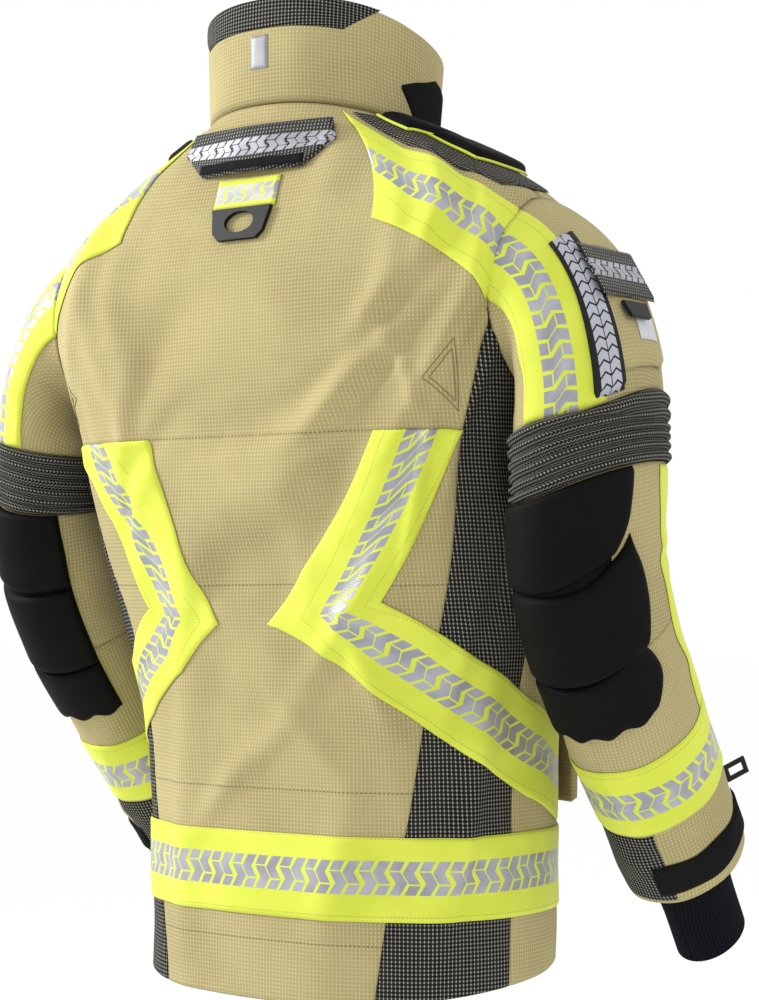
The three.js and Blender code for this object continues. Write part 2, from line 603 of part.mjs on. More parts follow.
function addFront() {
  const chainRows = BODY_ROWS.filter((h) => h >= 60 && h <= 800);
  const rows = [52, ...chainRows.filter((h) => h > 60)];
  const chain = [(h) => frontTurn(FRONT_HALF - 2 * GAP, h), (h) => 360 - frontTurn(FRONT_HALF - 2 * GAP, h)];
  add('zip', bodyPatch(...chain, rows, 2, -SHELL, -1.5), 'plastic');
  const edges = [(h) => frontTurn(STORM_HALF, h), (h) => 360 - frontTurn(STORM_HALF, h)];
  const stormRows = BODY_ROWS.filter((h) => h >= 60 && h <= 790);
  add('storm_flap', bodyPatch(...edges, stormRows, 4, 3 * GAP, 3 * GAP + FLAP), 'khaki');
}

// Bellows pocket with a flat face: the face is square to the body at the pocket's middle
function flatPocket(name, turn, half, low, top, depth, flapDrop) {
  const middle = (low + top) / 2;
  const normal = bodyNormal(turn, middle);
  const across = new THREE.Vector3(0, 0, 1).cross(normal).normalize();
  const up = normal.clone().cross(across).normalize();
  const centre = bodyPoint(turn, middle).addScaledVector(normal, depth);
  const halfHeight = (top - low) / 2;
  const onFace = (u, v, out) => centre.clone().addScaledVector(across, u).addScaledVector(up, v).addScaledVector(normal, out);
  const nearestTurn = (x) => {
    let best = turn;
    for (let t = turn - 60; t <= turn + 60; t += 0.25) {
      if (Math.abs(bodyPoint(t, middle).x - x) < Math.abs(bodyPoint(best, middle).x - x)) best = t;
    }
    return best;
  };
  const columns = 6;
  const rows = 3;
  add(`${name}_pocket`, gridSolid(columns, rows, false, (i, j, layer) => {
    const u = -half + 2 * half * i / columns;
    const v = -halfHeight + 2 * halfHeight * j / rows;
    const face = onFace(u, v, 0);
    if (layer === 0) return face;
    return onBody(nearestTurn(face.x), face.z, 8 * GAP);
  }), 'khaki');
  const flapTop = halfHeight - 2;
  const edge = half + 3;
  const corners = [[edge, flapTop], [-edge, flapTop], [-edge, flapTop - flapDrop * 0.75], [-edge + 14, flapTop - flapDrop],
    [edge - 14, flapTop - flapDrop], [edge, flapTop - flapDrop * 0.75]];
  add(`${name}_flap`, plate(corners.map(([u, v]) => onFace(u, v, 2 * GAP)), FLAP), 'dark');
}

function addPockets() {
  for (const [name, side] of sides) {
    flatPocket(`lower_${name}`, side * 143, 62, 170, 330, 9, 58);
  }
}

addBodyPanels();
addHemTape();
addChevronTapes();
addShoulders();
addCollar();
addDragRescue();
for (const [name, side] of sides) {
  addSleeve(name, side);
  addSleeveTrims(name, side);
}
addSleevePocket();
addFront();
addPockets();

export default coat;
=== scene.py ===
import math

import bpy
import numpy as np
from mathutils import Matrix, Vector


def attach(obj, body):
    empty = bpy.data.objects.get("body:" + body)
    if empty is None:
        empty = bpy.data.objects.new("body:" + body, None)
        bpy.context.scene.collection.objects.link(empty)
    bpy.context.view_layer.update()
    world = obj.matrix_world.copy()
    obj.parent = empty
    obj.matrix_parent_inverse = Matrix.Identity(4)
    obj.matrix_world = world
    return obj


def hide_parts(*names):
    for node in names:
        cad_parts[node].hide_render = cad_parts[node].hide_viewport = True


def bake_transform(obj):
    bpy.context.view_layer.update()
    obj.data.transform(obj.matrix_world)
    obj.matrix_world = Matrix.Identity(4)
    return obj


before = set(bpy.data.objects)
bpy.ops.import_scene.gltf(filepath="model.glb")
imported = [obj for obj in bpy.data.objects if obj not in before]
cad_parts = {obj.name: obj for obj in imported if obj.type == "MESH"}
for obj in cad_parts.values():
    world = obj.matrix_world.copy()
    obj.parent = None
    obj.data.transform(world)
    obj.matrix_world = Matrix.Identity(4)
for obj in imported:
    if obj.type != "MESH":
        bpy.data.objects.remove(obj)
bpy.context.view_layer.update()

# The body of the coat: aramid ripstop shell in a back panel, two dark side panels and two fronts.
# The panels are cut flat, sewn along curved seams and hang in soft folds from the shoulders.
FINE = 0.0035
# Rows: height, half width, depth behind and ahead of the middle, its y, squareness, drop of the front.
BODY = np.array([
    [0.0, 0.203, 0.150, 0.146, 0.000, 2.3, 0.00], [0.100, 0.203, 0.150, 0.146, 0.000, 2.3, 0.00],
    [0.200, 0.203, 0.148, 0.146, 0.002, 2.4, 0.00], [0.300, 0.209, 0.146, 0.146, 0.008, 2.7, 0.00],
    [0.400, 0.226, 0.143, 0.144, 0.020, 3.3, 0.00], [0.500, 0.237, 0.138, 0.142, 0.036, 4.0, 0.00],
    [0.570, 0.262, 0.133, 0.138, 0.046, 4.0, 0.00], [0.640, 0.280, 0.128, 0.126, 0.050, 3.8, 0.00],
    [0.690, 0.272, 0.120, 0.112, 0.052, 3.2, 0.00], [0.725, 0.245, 0.110, 0.106, 0.052, 2.8, 0.02],
    [0.755, 0.207, 0.102, 0.102, 0.050, 2.5, 0.06], [0.780, 0.168, 0.098, 0.099, 0.048, 2.3, 0.12],
    [0.800, 0.133, 0.097, 0.097, 0.047, 2.2, 0.18], [0.815, 0.108, 0.096, 0.095, 0.046, 2.2, 0.24],
])
# Rows: height and the turn of a panel seam, in degrees from the middle of the back.
SEAM = np.array([[0, 33], [0.080, 37], [0.160, 43], [0.250, 48], [0.330, 52], [0.430, 56], [0.516, 58],
                 [0.570, 58], [0.610, 60], [0.690, 90], [0.820, 90]], float)
SIDE = np.array([[0, 80], [0.250, 84], [0.430, 92], [0.530, 104], [0.570, 112], [0.610, 114],
                 [0.690, 90], [0.820, 90]], float)
NECK, HEM_RISE, HEM_RISE_END, SHELL = 0.815, 0.036, 0.06, 0.005
ARMHOLE = (0.050, 0.627, 0.096, 0.090)
FOLD = 2.7
# One fold a row: turn, height, lean, width, tallness and rise.
WAVES = [
    (-20, 0.50, 10, 3, 0.07, 0.0016), (30, 0.56, -24, 3, 0.06, 0.0018), (18, 0.54, 26, 3, 0.06, -0.0016),
    (6, 0.42, -6, 3, 0.07, 0.0016), (-4, 0.37, 14, 3, 0.06, -0.0014), (40, 0.45, 6, 3, 0.08, 0.0018),
    (50, 0.60, 10, 3, 0.05, 0.0016), (-40, 0.56, 12, 4, 0.08, 0.0018), (60, 0.30, 12, 4, 0.08, 0.0016),
    (-33, 0.64, 0, 8, 0.20, 0.0032), (-24, 0.60, -8, 5, 0.16, 0.0028), (34, 0.66, 20, 6, 0.14, 0.0030),
    (26, 0.62, 28, 5, 0.12, -0.0026), (44, 0.60, 14, 5, 0.12, 0.0026), (2, 0.46, 12, 5, 0.10, 0.0026),
    (10, 0.43, 10, 5, 0.10, -0.0024), (-8, 0.40, -14, 5, 0.12, 0.0022), (-14, 0.30, 6, 7, 0.14, 0.0028),
    (38, 0.24, -8, 7, 0.14, 0.0026), (22, 0.12, 6, 7, 0.10, 0.0022), (-22, 0.10, 0, 6, 0.10, 0.0022),
    (68, 0.24, 10, 7, 0.16, 0.0030), (84, 0.36, -6, 7, 0.14, 0.0028), (-70, 0.30, 8, 8, 0.16, 0.0030),
    (120, 0.40, 8, 9, 0.18, 0.0030), (-124, 0.42, -8, 9, 0.18, 0.0030), (148, 0.55, 6, 8, 0.14, 0.0028),
    (-150, 0.56, 4, 8, 0.14, 0.0028), (0, 0.70, 0, 12, 0.05, 0.0026), (14, 0.73, 30, 7, 0.05, 0.0022),
    (-17, 0.62, -6, 4.5, 0.10, 0.0030), (-9, 0.57, 9, 4, 0.09, -0.0026), (17, 0.60, 12, 4, 0.10, 0.0032),
    (9, 0.55, 20, 4, 0.07, -0.0026), (-18, 0.45, 10, 4, 0.07, 0.0026), (-12, 0.50, 20, 3.5, 0.06, -0.0022),
    (20, 0.34, 14, 4, 0.06, 0.0024), (8, 0.26, -24, 4, 0.05, 0.0022), (-4, 0.20, 22, 4, 0.05, 0.0022),
    (28, 0.30, -20, 4, 0.06, 0.0024), (58, 0.52, 10, 4, 0.08, 0.0024), (62, 0.14, 8, 4, 0.07, 0.0022),
]


def smooth(table, column, at):
    at = np.clip(at, table[0, 0], table[-1, 0])
    x, y = table[:, 0], table[:, column]
    span = np.diff(x)
    rate = np.diff(y) / span
    slope = np.concatenate([[rate[0]], np.zeros(len(x) - 2), [rate[-1]]])
    for i in range(1, len(x) - 1):
        if rate[i - 1] * rate[i] > 0:
            w1, w2 = 2 * span[i] + span[i - 1], span[i] + 2 * span[i - 1]
            slope[i] = (w1 + w2) / (w1 / rate[i - 1] + w2 / rate[i])
    i = np.clip(np.searchsorted(x, at, side="right") - 1, 0, len(x) - 2)
    t = (at - x[i]) / span[i]
    return (y[i] * (2 * t**3 - 3 * t**2 + 1) + slope[i] * span[i] * (t**3 - 2 * t**2 + t)
            + y[i + 1] * (3 * t**2 - 2 * t**3) + slope[i + 1] * span[i] * (t**3 - t**2))


def body_point(turn, height):
    a, back, ahead, centre, square, drop = (smooth(BODY, k, height) for k in range(1, 7))
    c, s = np.cos(np.radians(turn)), np.sin(np.radians(turn))
    x = -a * np.sign(s) * np.abs(s) ** (2 / square)
    y = centre + np.where(c > 0, back, ahead) * np.sign(c) * np.abs(c) ** (2 / square)
    return np.stack([x, y, height - drop * (centre + back - y)], -1)


def unit(v):
    return v / np.maximum(np.linalg.norm(v, axis=-1, keepdims=True), 1e-9)


def body_normal(turn, height):
    across = body_point(turn + 0.6, height) - body_point(turn - 0.6, height)
    up = body_point(turn, np.minimum(height + 0.003, NECK)) - body_point(turn, height - 0.003)
    n = unit(np.cross(up, across))
    out = body_point(turn, height) - np.stack([0 * height, 0 * height + 0.04, height - 0.06], -1)
    return np.where(np.sum(n * out, -1, keepdims=True) < 0, -n, n)


def folds(turn, height):
    total = 0.0006 * np.sin(np.radians(turn) * 9 + height * 21) + 0.0005 * np.sin(height * 63 + np.radians(turn) * 5)
    for t0, h0, lean, wide, tall, rise in WAVES:
        across = (turn - t0 - lean * (height - h0) / 0.1) / wide
        total = total + FOLD * rise * np.exp(-across**2 - ((height - h0) / tall) ** 2)
    calm = 1 - np.exp(-((turn / 14) ** 4) - ((height - 0.715) / 0.06) ** 4)
    return total * calm * np.clip((NECK - height) / 0.06, 0, 1)


def on_body(turn, height, offset):
    turn, height = np.broadcast_arrays(np.asarray(turn, float), np.asarray(height, float))
    base = body_point(turn, height)
    return base + body_normal(turn, height) * np.asarray(offset + folds(turn, height))[..., None]


def body_arc(turn, height):
    fine = np.linspace(-185, 185, 741)
    rows = np.asarray(height)[:, :1] if np.ndim(height) == 2 else np.asarray(height)[:, None]
    ring = body_point(np.broadcast_to(fine, (len(rows), len(fine))), np.broadcast_to(rows, (len(rows), len(fine))))
    length = np.cumsum(np.linalg.norm(np.diff(ring, axis=1), axis=-1), axis=1)
    length = np.concatenate([np.zeros((len(rows), 1)), length], axis=1)
    length -= length[:, 370:371]
    return np.array([np.interp(turn[k], fine, length[k]) for k in range(len(rows))])


def mesh_from_grid(name, outer, inner, uv, closed=False):
    rows, cols = outer.shape[:2]
    verts = np.concatenate([outer.reshape(-1, 3), inner.reshape(-1, 3)])
    j, i = np.meshgrid(np.arange(rows - 1), np.arange(cols if closed else cols - 1), indexing="ij")
    k = (i + 1) % cols
    a, b, c, d = j * cols + i, j * cols + k, (j + 1) * cols + k, (j + 1) * cols + i
    top = np.stack([a, b, c, d], -1).reshape(-1, 4)
    size = rows * cols
    faces = [top, top[:, ::-1] + size]
    ring = np.arange(cols if closed else cols - 1)
    nxt = (ring + 1) % cols
    last = (rows - 1) * cols
    faces.append(np.stack([ring + size, nxt + size, nxt, ring], -1))
    faces.append(np.stack([last + ring, last + nxt, last + nxt + size, last + ring + size], -1))
    if not closed:
        side = np.arange(rows - 1) * cols
        faces.append(np.stack([side, side + cols, side + cols + size, side + size], -1))
        side = side + cols - 1
        faces.append(np.stack([side + size, side + cols + size, side + cols, side], -1))
    faces = np.concatenate(faces)
    tri = np.concatenate([faces[:, [0, 1, 2]], faces[:, [0, 2, 3]]])
    p = verts[tri]
    if np.sum(p[:, 0] * np.cross(p[:, 1], p[:, 2])) < 0:
        faces = faces[:, ::-1]
    mesh = bpy.data.meshes.new(name)
    mesh.from_pydata(verts.tolist(), [], faces.tolist())
    flat = np.concatenate([uv.reshape(-1, 2), uv.reshape(-1, 2)])
    layer = mesh.uv_layers.new(name="cloth")
    if closed:
        corner = faces.reshape(-1)
        coords = flat[corner].reshape(-1, 4, 2)
        wide = uv[..., 0].max() - uv[..., 0].min()
        step = wide / cols
        high = coords[..., 0].max(axis=1, keepdims=True)
        coords[..., 0] = np.where(high - coords[..., 0] > wide / 2, coords[..., 0] + wide + step, coords[..., 0])
        layer.uv.foreach_set("vector", coords.reshape(-1).astype(np.float32))
    else:
        layer.uv.foreach_set("vector", flat[faces.reshape(-1)].reshape(-1).astype(np.float32))
    mesh.polygons.foreach_set("use_smooth", np.ones(len(faces), bool))
    mesh.update()
    piece = bpy.data.objects.new(name, mesh)
    bpy.context.scene.collection.objects.link(piece)
    return piece


def rounded_edges(share_u, share_v, reach_u, reach_v):
    u = np.clip(np.minimum(share_u, 1 - share_u) / reach_u, 0, 1)
    v = np.clip(np.minimum(share_v, 1 - share_v) / reach_v, 0, 1)
    return np.sqrt(np.clip(1 - (1 - u) ** 2, 0, 1)) * np.sqrt(np.clip(1 - (1 - v) ** 2, 0, 1))


def declare_sheet(outer):
    a = outer[:-1, :-1], outer[1:, 1:], outer[1:, :-1], outer[:-1, 1:]
    area = 0.5 * np.linalg.norm(np.cross(a[1] - a[0], a[3] - a[2]), axis=-1).sum()


class Socket:
    """A shader value that can be added, multiplied and compared like a number."""

    tree = None

    def __init__(self, out):
        self.out = out

    @classmethod
    def node(cls, kind, inputs=(), **settings):
        n = cls.tree.nodes.new(kind)
        for key, value in settings.items():
            setattr(n, key, value)
        for key, value in dict(inputs).items():
            if isinstance(value, Socket):
                cls.tree.links.new(value.out, n.inputs[key])
            else:
                n.inputs[key].default_value = value
        return n

    @classmethod
    def math(cls, operation, *values):
        n = cls.node("ShaderNodeMath", dict(enumerate(values)), operation=operation)
        return Socket(n.outputs[0])

    def __add__(self, other):
        return Socket.math("ADD", self, other)

    def __radd__(self, other):
        return Socket.math("ADD", other, self)

    def __sub__(self, other):
        return Socket.math("SUBTRACT", self, other)

    def __rsub__(self, other):
        return Socket.math("SUBTRACT", other, self)

    def __mul__(self, other):
        return Socket.math("MULTIPLY", self, other)

    def __rmul__(self, other):
        return Socket.math("MULTIPLY", other, self)

    def __truediv__(self, other):
        return Socket.math("DIVIDE", self, other)

    def __lt__(self, other):
        return Socket.math("LESS_THAN", self, other)

    def __gt__(self, other):
        return Socket.math("GREATER_THAN", self, other)

    def __abs__(self):
        return Socket.math("ABSOLUTE", self)

    def repeat(self):
        return Socket.math("FRACT", self)

    def wave(self):
        return Socket.math("SINE", self)

    def within(self, low, high):
        return (self > low) * (self < high)

    def either(self, other):
        return Socket.math("MAXIMUM", self, other)

    def soften(self, low, high):
        n = Socket.node("ShaderNodeMapRange", {0: self, 1: low, 2: high}, interpolation_type="SMOOTHSTEP")
        return Socket(n.outputs[0])


def start_material(name, roughness=0.85, metallic=0.0, sheen=0.0, specular=0.3):
    material = bpy.data.materials.new(name)
    material.use_nodes = True
    Socket.tree = material.node_tree
    shader = material.node_tree.nodes["Principled BSDF"]
    shader.inputs["Roughness"].default_value = roughness
    shader.inputs["Metallic"].default_value = metallic
    shader.inputs["Specular IOR Level"].default_value = specular
    shader.inputs["Sheen Weight"].default_value = sheen
    return material, shader


def cloth_uv():
    n = Socket.node("ShaderNodeUVMap", uv_map="cloth")
    split = Socket.node("ShaderNodeSeparateXYZ", {0: Socket(n.outputs[0])})
    return Socket(split.outputs[0]), Socket(split.outputs[1])


def noise(scale, detail=3.0, at=None):
    at = at or Socket(Socket.node("ShaderNodeUVMap", uv_map="cloth").outputs[0])
    n = Socket.node("ShaderNodeTexNoise", {"Vector": at, "Scale": scale, "Detail": detail})
    return Socket(n.outputs[0])


def colour_mix(share, low, high):
    n = Socket.node("ShaderNodeMix", {0: share}, data_type="RGBA")
    for slot, value in ((6, low), (7, high)):
        if isinstance(value, Socket):
            Socket.tree.links.new(value.out, n.inputs[slot])
        else:
            n.inputs[slot].default_value = (*value, 1)
    return Socket(n.outputs[2])


def finish_material(shader, colour, bump=None, strength=0.3, distance=0.0006, roughness=None):
    Socket.tree.links.new(colour.out, shader.inputs["Base Color"])
    if roughness is not None:
        Socket.tree.links.new(roughness.out, shader.inputs["Roughness"])
    if bump is not None:
        n = Socket.node("ShaderNodeBump", {"Height": bump, "Strength": strength, "Distance": distance})
        Socket.tree.links.new(n.outputs[0], shader.inputs["Normal"])


def ripstop(name, ground, shade, thread, share, pitch=0.0036, stitch_lines=(), sheen=0.05):
    material, shader = start_material(name, roughness=0.9, sheen=sheen, specular=0.12)
    u, v = cloth_uv()
    across, along = (u / pitch).repeat(), (v / pitch).repeat()
    dots = (abs(across - 0.5) < 0.16) * (abs(along - 0.5) < 0.26)
    ribs = (abs(across - 0.5) < 0.10).either(abs(along - 0.5) < 0.10)
    cloud = noise(9.0).soften(0.35, 0.7)
    tone = colour_mix(cloud, ground, shade)
    tone = colour_mix(ribs * (share * 0.22), tone, thread)
    tone = colour_mix(dots * share, tone, thread)
    fine = (u * 4200).wave() * (v * 4200).wave()
    height = dots * 0.6 + fine * 0.25 + noise(260.0) * 0.3
    for line in stitch_lines:
        run = (abs(v - line) < 0.0007) * ((u / 0.004).repeat() < 0.62)
        tone = colour_mix(run, tone, tuple(0.5 * c for c in ground))
        height = height - (abs(v - line) < 0.0016) * 1.2
    finish_material(shader, tone, height, strength=0.55)
    return material


KHAKI, KHAKI_DEEP, CREAM = (0.400, 0.334, 0.148), (0.335, 0.276, 0.116), (0.64, 0.58, 0.37)
INK, INK_DEEP, PALE = (0.010, 0.0105, 0.011), (0.006, 0.0065, 0.007), (0.54, 0.52, 0.43)
khaki = ripstop("khaki_ripstop", KHAKI, KHAKI_DEEP, CREAM, 0.55)
khaki_back = ripstop("khaki_back", KHAKI, KHAKI_DEEP, CREAM, 0.55, stitch_lines=(0.509, 0.374, 0.190, 0.054))
dark = ripstop("dark_ripstop", INK, INK_DEEP, PALE, 0.50, sheen=0.0)


def seam_turn(height):
    return smooth(SEAM, 1, height)


def side_turn(height):
    return smooth(SIDE, 1, height)


def front_turn(half, height):
    square, width = smooth(BODY, 5, height), smooth(BODY, 1, height)
    return 180 - np.degrees(np.arcsin((half / width) ** (square / 2)))


def armhole_cut(piece):
    y, z, deep, high = ARMHOLE
    for side in (-1, 1):
        ring = [(y + deep * math.cos(t), z + high * math.sin(t)) for t in np.linspace(0, 2 * math.pi, 97)[:-1]]
        verts = [(side * x, a, b) for x in (0.14, 0.34) for a, b in ring]
        faces = [[i, (i + 1) % 96, 96 + (i + 1) % 96, 96 + i] for i in range(96)]
        faces += [list(range(96))[::-1], list(range(96, 192))]
        cutter_mesh = bpy.data.meshes.new("armhole_cutter")
        cutter_mesh.from_pydata(verts, [], faces)
        cutter = bpy.data.objects.new("armhole_cutter", cutter_mesh)
        bpy.context.scene.collection.objects.link(cutter)
        bpy.ops.object.select_all(action="DESELECT")
        cutter.select_set(True)
        bpy.context.view_layer.objects.active = cutter
        bpy.ops.object.mode_set(mode="EDIT")
        bpy.ops.mesh.select_all(action="SELECT")
        bpy.ops.mesh.normals_make_consistent(inside=False)
        bpy.ops.object.mode_set(mode="OBJECT")
        cut = piece.modifiers.new("armhole", "BOOLEAN")
        cut.operation, cut.object, cut.solver = "DIFFERENCE", cutter, "EXACT"
        bpy.ops.object.select_all(action="DESELECT")
        piece.select_set(True)
        bpy.context.view_layer.objects.active = piece
        bpy.ops.object.modifier_apply(modifier="armhole")
        bpy.data.objects.remove(cutter)


def body_panel(name, node, left, right, low, high, material, dip=0.0012):
    """A shell panel between two seams, each a function of height, with a groove along them."""
    middle = np.array([0.3])
    turns_wide = np.ptp([float(left(middle)[0]), float(right(middle)[0])])
    columns = max(8, int(turns_wide / 360 * 1.15 / FINE))
    rows = max(4, int((high - low) / FINE))
    height = np.linspace(low, high, rows)[:, None]
    share = np.linspace(0, 1, columns)[None, :]
    a, b = left(height), right(height)
    turn = a + (b - a) * share
    height = np.broadcast_to(height, turn.shape).copy()
    rise = HEM_RISE * (1 - np.cos(np.radians(turn))) / 2
    height = height + rise * np.clip(1 - height / HEM_RISE_END, 0, 1)
    edge = np.minimum(share, 1 - share) * np.abs(b - a)
    groove = dip * np.exp(-((edge / 0.9) ** 2))
    outer = on_body(turn, height, -groove)
    inner = on_body(turn, height, -groove - SHELL)
    uv = np.stack([body_arc(turn, height), height], -1)
    piece = mesh_from_grid(name, outer, inner, uv)
    armhole_cut(piece)
    piece.data.materials.append(material)
    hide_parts(node)
    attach(piece, "coat")
    declare_sheet(outer)


HALF_GAP = 0.05
body_panel("back_cloth", "back_panel", lambda h: -seam_turn(h) + HALF_GAP, lambda h: seam_turn(h) - HALF_GAP,
           0.0, NECK, khaki_back)
for name, side in (("right", 1), ("left", -1)):
    body_panel(f"side_cloth_{name}", f"side_panel_{name}", lambda h: side * (seam_turn(h) + HALF_GAP),
               lambda h: side * (side_turn(h) - HALF_GAP), 0.0, 0.660, dark)
    body_panel(f"front_cloth_{name}", f"front_panel_{name}", lambda h: side * (side_turn(h) + HALF_GAP),
               lambda h: side * front_turn(0.016, h), 0.0, NECK, khaki)

# The quilted lining: thermal liner and moisture barrier, a thin layer that follows the shell inside.
quilt, quilt_shader = start_material("quilted_liner", roughness=0.9, sheen=0.1)
qu, qv = cloth_uv()
ridge = (abs(((qu + qv) / 0.05).repeat() - 0.5) * abs(((qu - qv) / 0.05).repeat() - 0.5)).soften(0.0, 0.05)
# The colour is darker along the sunk quilting lines and lighter on the puffed cells, following the bump: painted shade
# in the grooves.
finish_material(quilt_shader, colour_mix(ridge, (0.05, 0.055, 0.07), (0.09, 0.095, 0.11)), ridge, 0.6, 0.002)


def centred_lengths(points, axis):
    step = np.linalg.norm(np.diff(points, axis=axis), axis=-1)
    total = np.cumsum(step, axis=axis)
    pad = np.zeros_like(np.take(total, [0], axis=axis))
    total = np.concatenate([pad, total], axis=axis)
    return total - np.take(total, [total.shape[axis] // 2], axis=axis)


def patch(name, nodes, point, turn, height, out, into, material, rider, closed=False,
          edge=0.0, soft=None, ripple=None):
    """One thin closed layer over turn and height grids; rider is a body to attach it to, or two bodies with a start and
    an end, which are not used: the piece is then left unattached.
    """
    turn, height = np.broadcast_arrays(np.asarray(turn, float), np.asarray(height, float))
    rows, cols = turn.shape
    offset = np.full(turn.shape, float(out))
    if ripple is not None:
        offset = offset + ripple
    if edge > 0:
        su, sv = np.linspace(0, 1, cols)[None, :], np.linspace(0, 1, rows)[:, None]
        middle = point(turn, height, offset)
        long_u = np.linalg.norm(np.diff(middle, axis=1), axis=-1).sum(axis=1).mean()
        long_v = np.linalg.norm(np.diff(middle, axis=0), axis=-1).sum(axis=0).mean()
        shape = rounded_edges(np.full_like(su, 0.5) if closed else su, sv, edge / long_u, edge / long_v)
        offset = into + 0.0003 + (offset - into - 0.0003) * shape
    outer = point(turn, height, offset)
    inner = point(turn, height, np.full(turn.shape, float(into)))
    uv = np.stack([centred_lengths(outer, 1), centred_lengths(outer, 0)], -1)
    piece = mesh_from_grid(name, outer, inner, uv, closed)
    piece.data.materials.append(material)
    if nodes:
        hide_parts(*nodes)
    if isinstance(rider, str):
        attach(piece, rider)
    else:
        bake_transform(piece)
    if soft is not None:
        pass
    else:
        declare_sheet(outer)
    return piece


def span(a, b, step=None):
    return np.linspace(a, b, max(3, int(abs(b - a) / (step or FINE)) + 1))


def body_rows(low, high, left, right, step=None):
    """Turn and height grids between two edges, each a function of height."""
    height = span(low, high, step)[:, None]
    a, b = left(height), right(height)
    wide = np.max(np.abs(b - a)) / 360 * 1.1
    share = np.linspace(0, 1, max(4, int(wide / (step or FINE))))[None, :]
    return a + (b - a) * share, np.broadcast_to(height, (len(height), share.shape[1]))


edge_turn = lambda h: front_turn(0.030, h)
t, h = body_rows(0.060, 0.808, lambda h: -edge_turn(h), edge_turn, 0.008)
lining = patch("lining", ["liner"], on_body, t, h, -0.0078, -0.0098, quilt, "coat")
armhole_cut(lining)

# Retroreflective trim: a lime woven tape with silver film bonded along its middle in short slanted pieces.
# The film is cut in separate pieces so that the tape bends and breathes.


def segments(u, v, band=0.030, period=0.027):
    along = u / period
    down = 0.5 - v / band

    def piece(middle, half, low, high):
        near = abs((along - middle + 0.5).repeat() - 0.5) < half
        return near * down.within(low, high)

    a = piece(0.385 - 0.55 * down, 0.19, 0.0, 0.28)
    b = piece(0.68 + 0.66 * abs(down - 0.35), 0.19, 0.0, 0.67)
    c = piece(0.453 - 0.68 * abs(down - 0.65), 0.19, 0.32, 1.0)
    d = piece(0.90 - 0.62 * (down - 0.72), 0.19, 0.72, 1.0)
    return a.either(b).either(c).either(d)


def tape_material(name, ground, deep, dots=False, swap=False, band=0.030, period=0.027, stitch=0.0345):
    material, shader = start_material(name, roughness=0.75, sheen=0.1)
    u, v = cloth_uv()
    if swap:
        u, v = v, u
    film = segments(u, v, band, period)
    cloud = noise(14.0).soften(0.3, 0.7)
    tone = colour_mix(cloud, ground, deep)
    if dots:
        weave = (abs((u / 0.0036).repeat() - 0.5) < 0.16) * (abs((v / 0.0036).repeat() - 0.5) < 0.26)
        tone = colour_mix(weave * 0.50, tone, PALE)
    rows = abs(abs(v) - stitch) < 0.0005
    dashes = rows * ((u / 0.0035).repeat() < 0.6)
    tone = colour_mix(dashes * 0.6, tone, tuple(0.45 * c for c in ground))
    glint = noise(30.0, 2.0).soften(0.3, 0.7)
    silver = colour_mix(glint, (0.27, 0.275, 0.305), (0.40, 0.405, 0.445))
    tone = colour_mix(film, tone, silver)
    grain = (u * 2600).wave() * (v * 2600).wave() * 0.2 - rows * 0.8 + film * 0.7
    finish_material(shader, tone, grain, 0.5, 0.0006, 0.75 - film * 0.37)
    Socket.tree.links.new((film * 0.25).out, shader.inputs["Metallic"])
    return material


LIME, LIME_DEEP = (0.66, 0.73, 0.075), (0.58, 0.65, 0.052)
lime_tape = tape_material("lime_tape", LIME, LIME_DEEP)
lime_upright = tape_material("lime_tape_upright", LIME, LIME_DEEP, swap=True)
lime_plain, plain_shader = start_material("lime_plain", roughness=0.7, sheen=0.1)
finish_material(plain_shader, colour_mix(noise(14.0), LIME, LIME_DEEP), noise(400.0), 0.3)


def ribbon_grid(edge_a, edge_b, step=None):
    """Turn and height grids between two polylines that have the same number of points."""
    a, b = np.array(edge_a, float), np.array(edge_b, float)
    mids = body_point((a[:, 0] + b[:, 0]) / 2, (a[:, 1] + b[:, 1]) / 2)
    spans = np.linalg.norm(np.diff(mids, axis=0), axis=-1)
    along = np.concatenate([np.linspace(k, k + 1, max(2, int(s / (step or FINE))) + 1)[:-1]
                            for k, s in enumerate(spans)] + [[len(a) - 1.0]])
    index = np.arange(len(a))
    ends = [np.stack([np.interp(along, index, e[:, 0]), np.interp(along, index, e[:, 1])], -1) for e in (a, b)]
    wide = np.linalg.norm(body_point(a[:, 0], a[:, 1]) - body_point(b[:, 0], b[:, 1]), axis=-1).max()
    t = np.linspace(0, 1, max(4, int(wide / (step or FINE))))[:, None, None]
    grid = ends[0][None] * (1 - t) + ends[1][None] * t
    return grid[..., 0], grid[..., 1]


TRIM_IN, TRIM_OUT = 0.0009, 0.0023
HEM_TAPE_LOW, HEM_TAPE_HIGH = 0.076, 0.151
hem_end = lambda h: front_turn(0.037, h)
t, h = body_rows(HEM_TAPE_LOW, HEM_TAPE_HIGH, lambda h: -hem_end(h), hem_end)
patch("hem_tape_band", ["hem_tape"], on_body, t, h, TRIM_OUT, TRIM_IN, lime_tape, "coat",
      edge=0.0012)
# Each edge of a band is a list of turn and height, from its upper end to the side seam.
CHEVRON_LOW = {
    1: [[23, 0.509], [12, 0.424], [2.4, 0.339], [25, 0.294], [48, 0.249], [64, 0.221], [100, 0.164], [108, 0.155]],
    -1: [[11.5, 0.509], [7.2, 0.424], [3.7, 0.339], [16, 0.294], [38, 0.252], [64, 0.221], [100, 0.164], [108, 0.155]],
}
CHEVRON_HIGH = {
    1: [[58, 0.509], [44, 0.435], [31, 0.360], [43, 0.344], [55, 0.328], [80, 0.290], [98, 0.250], [106, 0.235]],
    -1: [[57, 0.509], [34, 0.435], [26, 0.352], [36, 0.336], [50, 0.318], [80, 0.290], [98, 0.250], [106, 0.235]],
}
SHOULDER_LOW = [[22, 0.695], [29, 0.681], [36, 0.666], [50, 0.636], [55.2, 0.618]]
SHOULDER_HIGH = [[40, 0.808], [46, 0.764], [57, 0.738], [64, 0.716], [72, 0.700]]
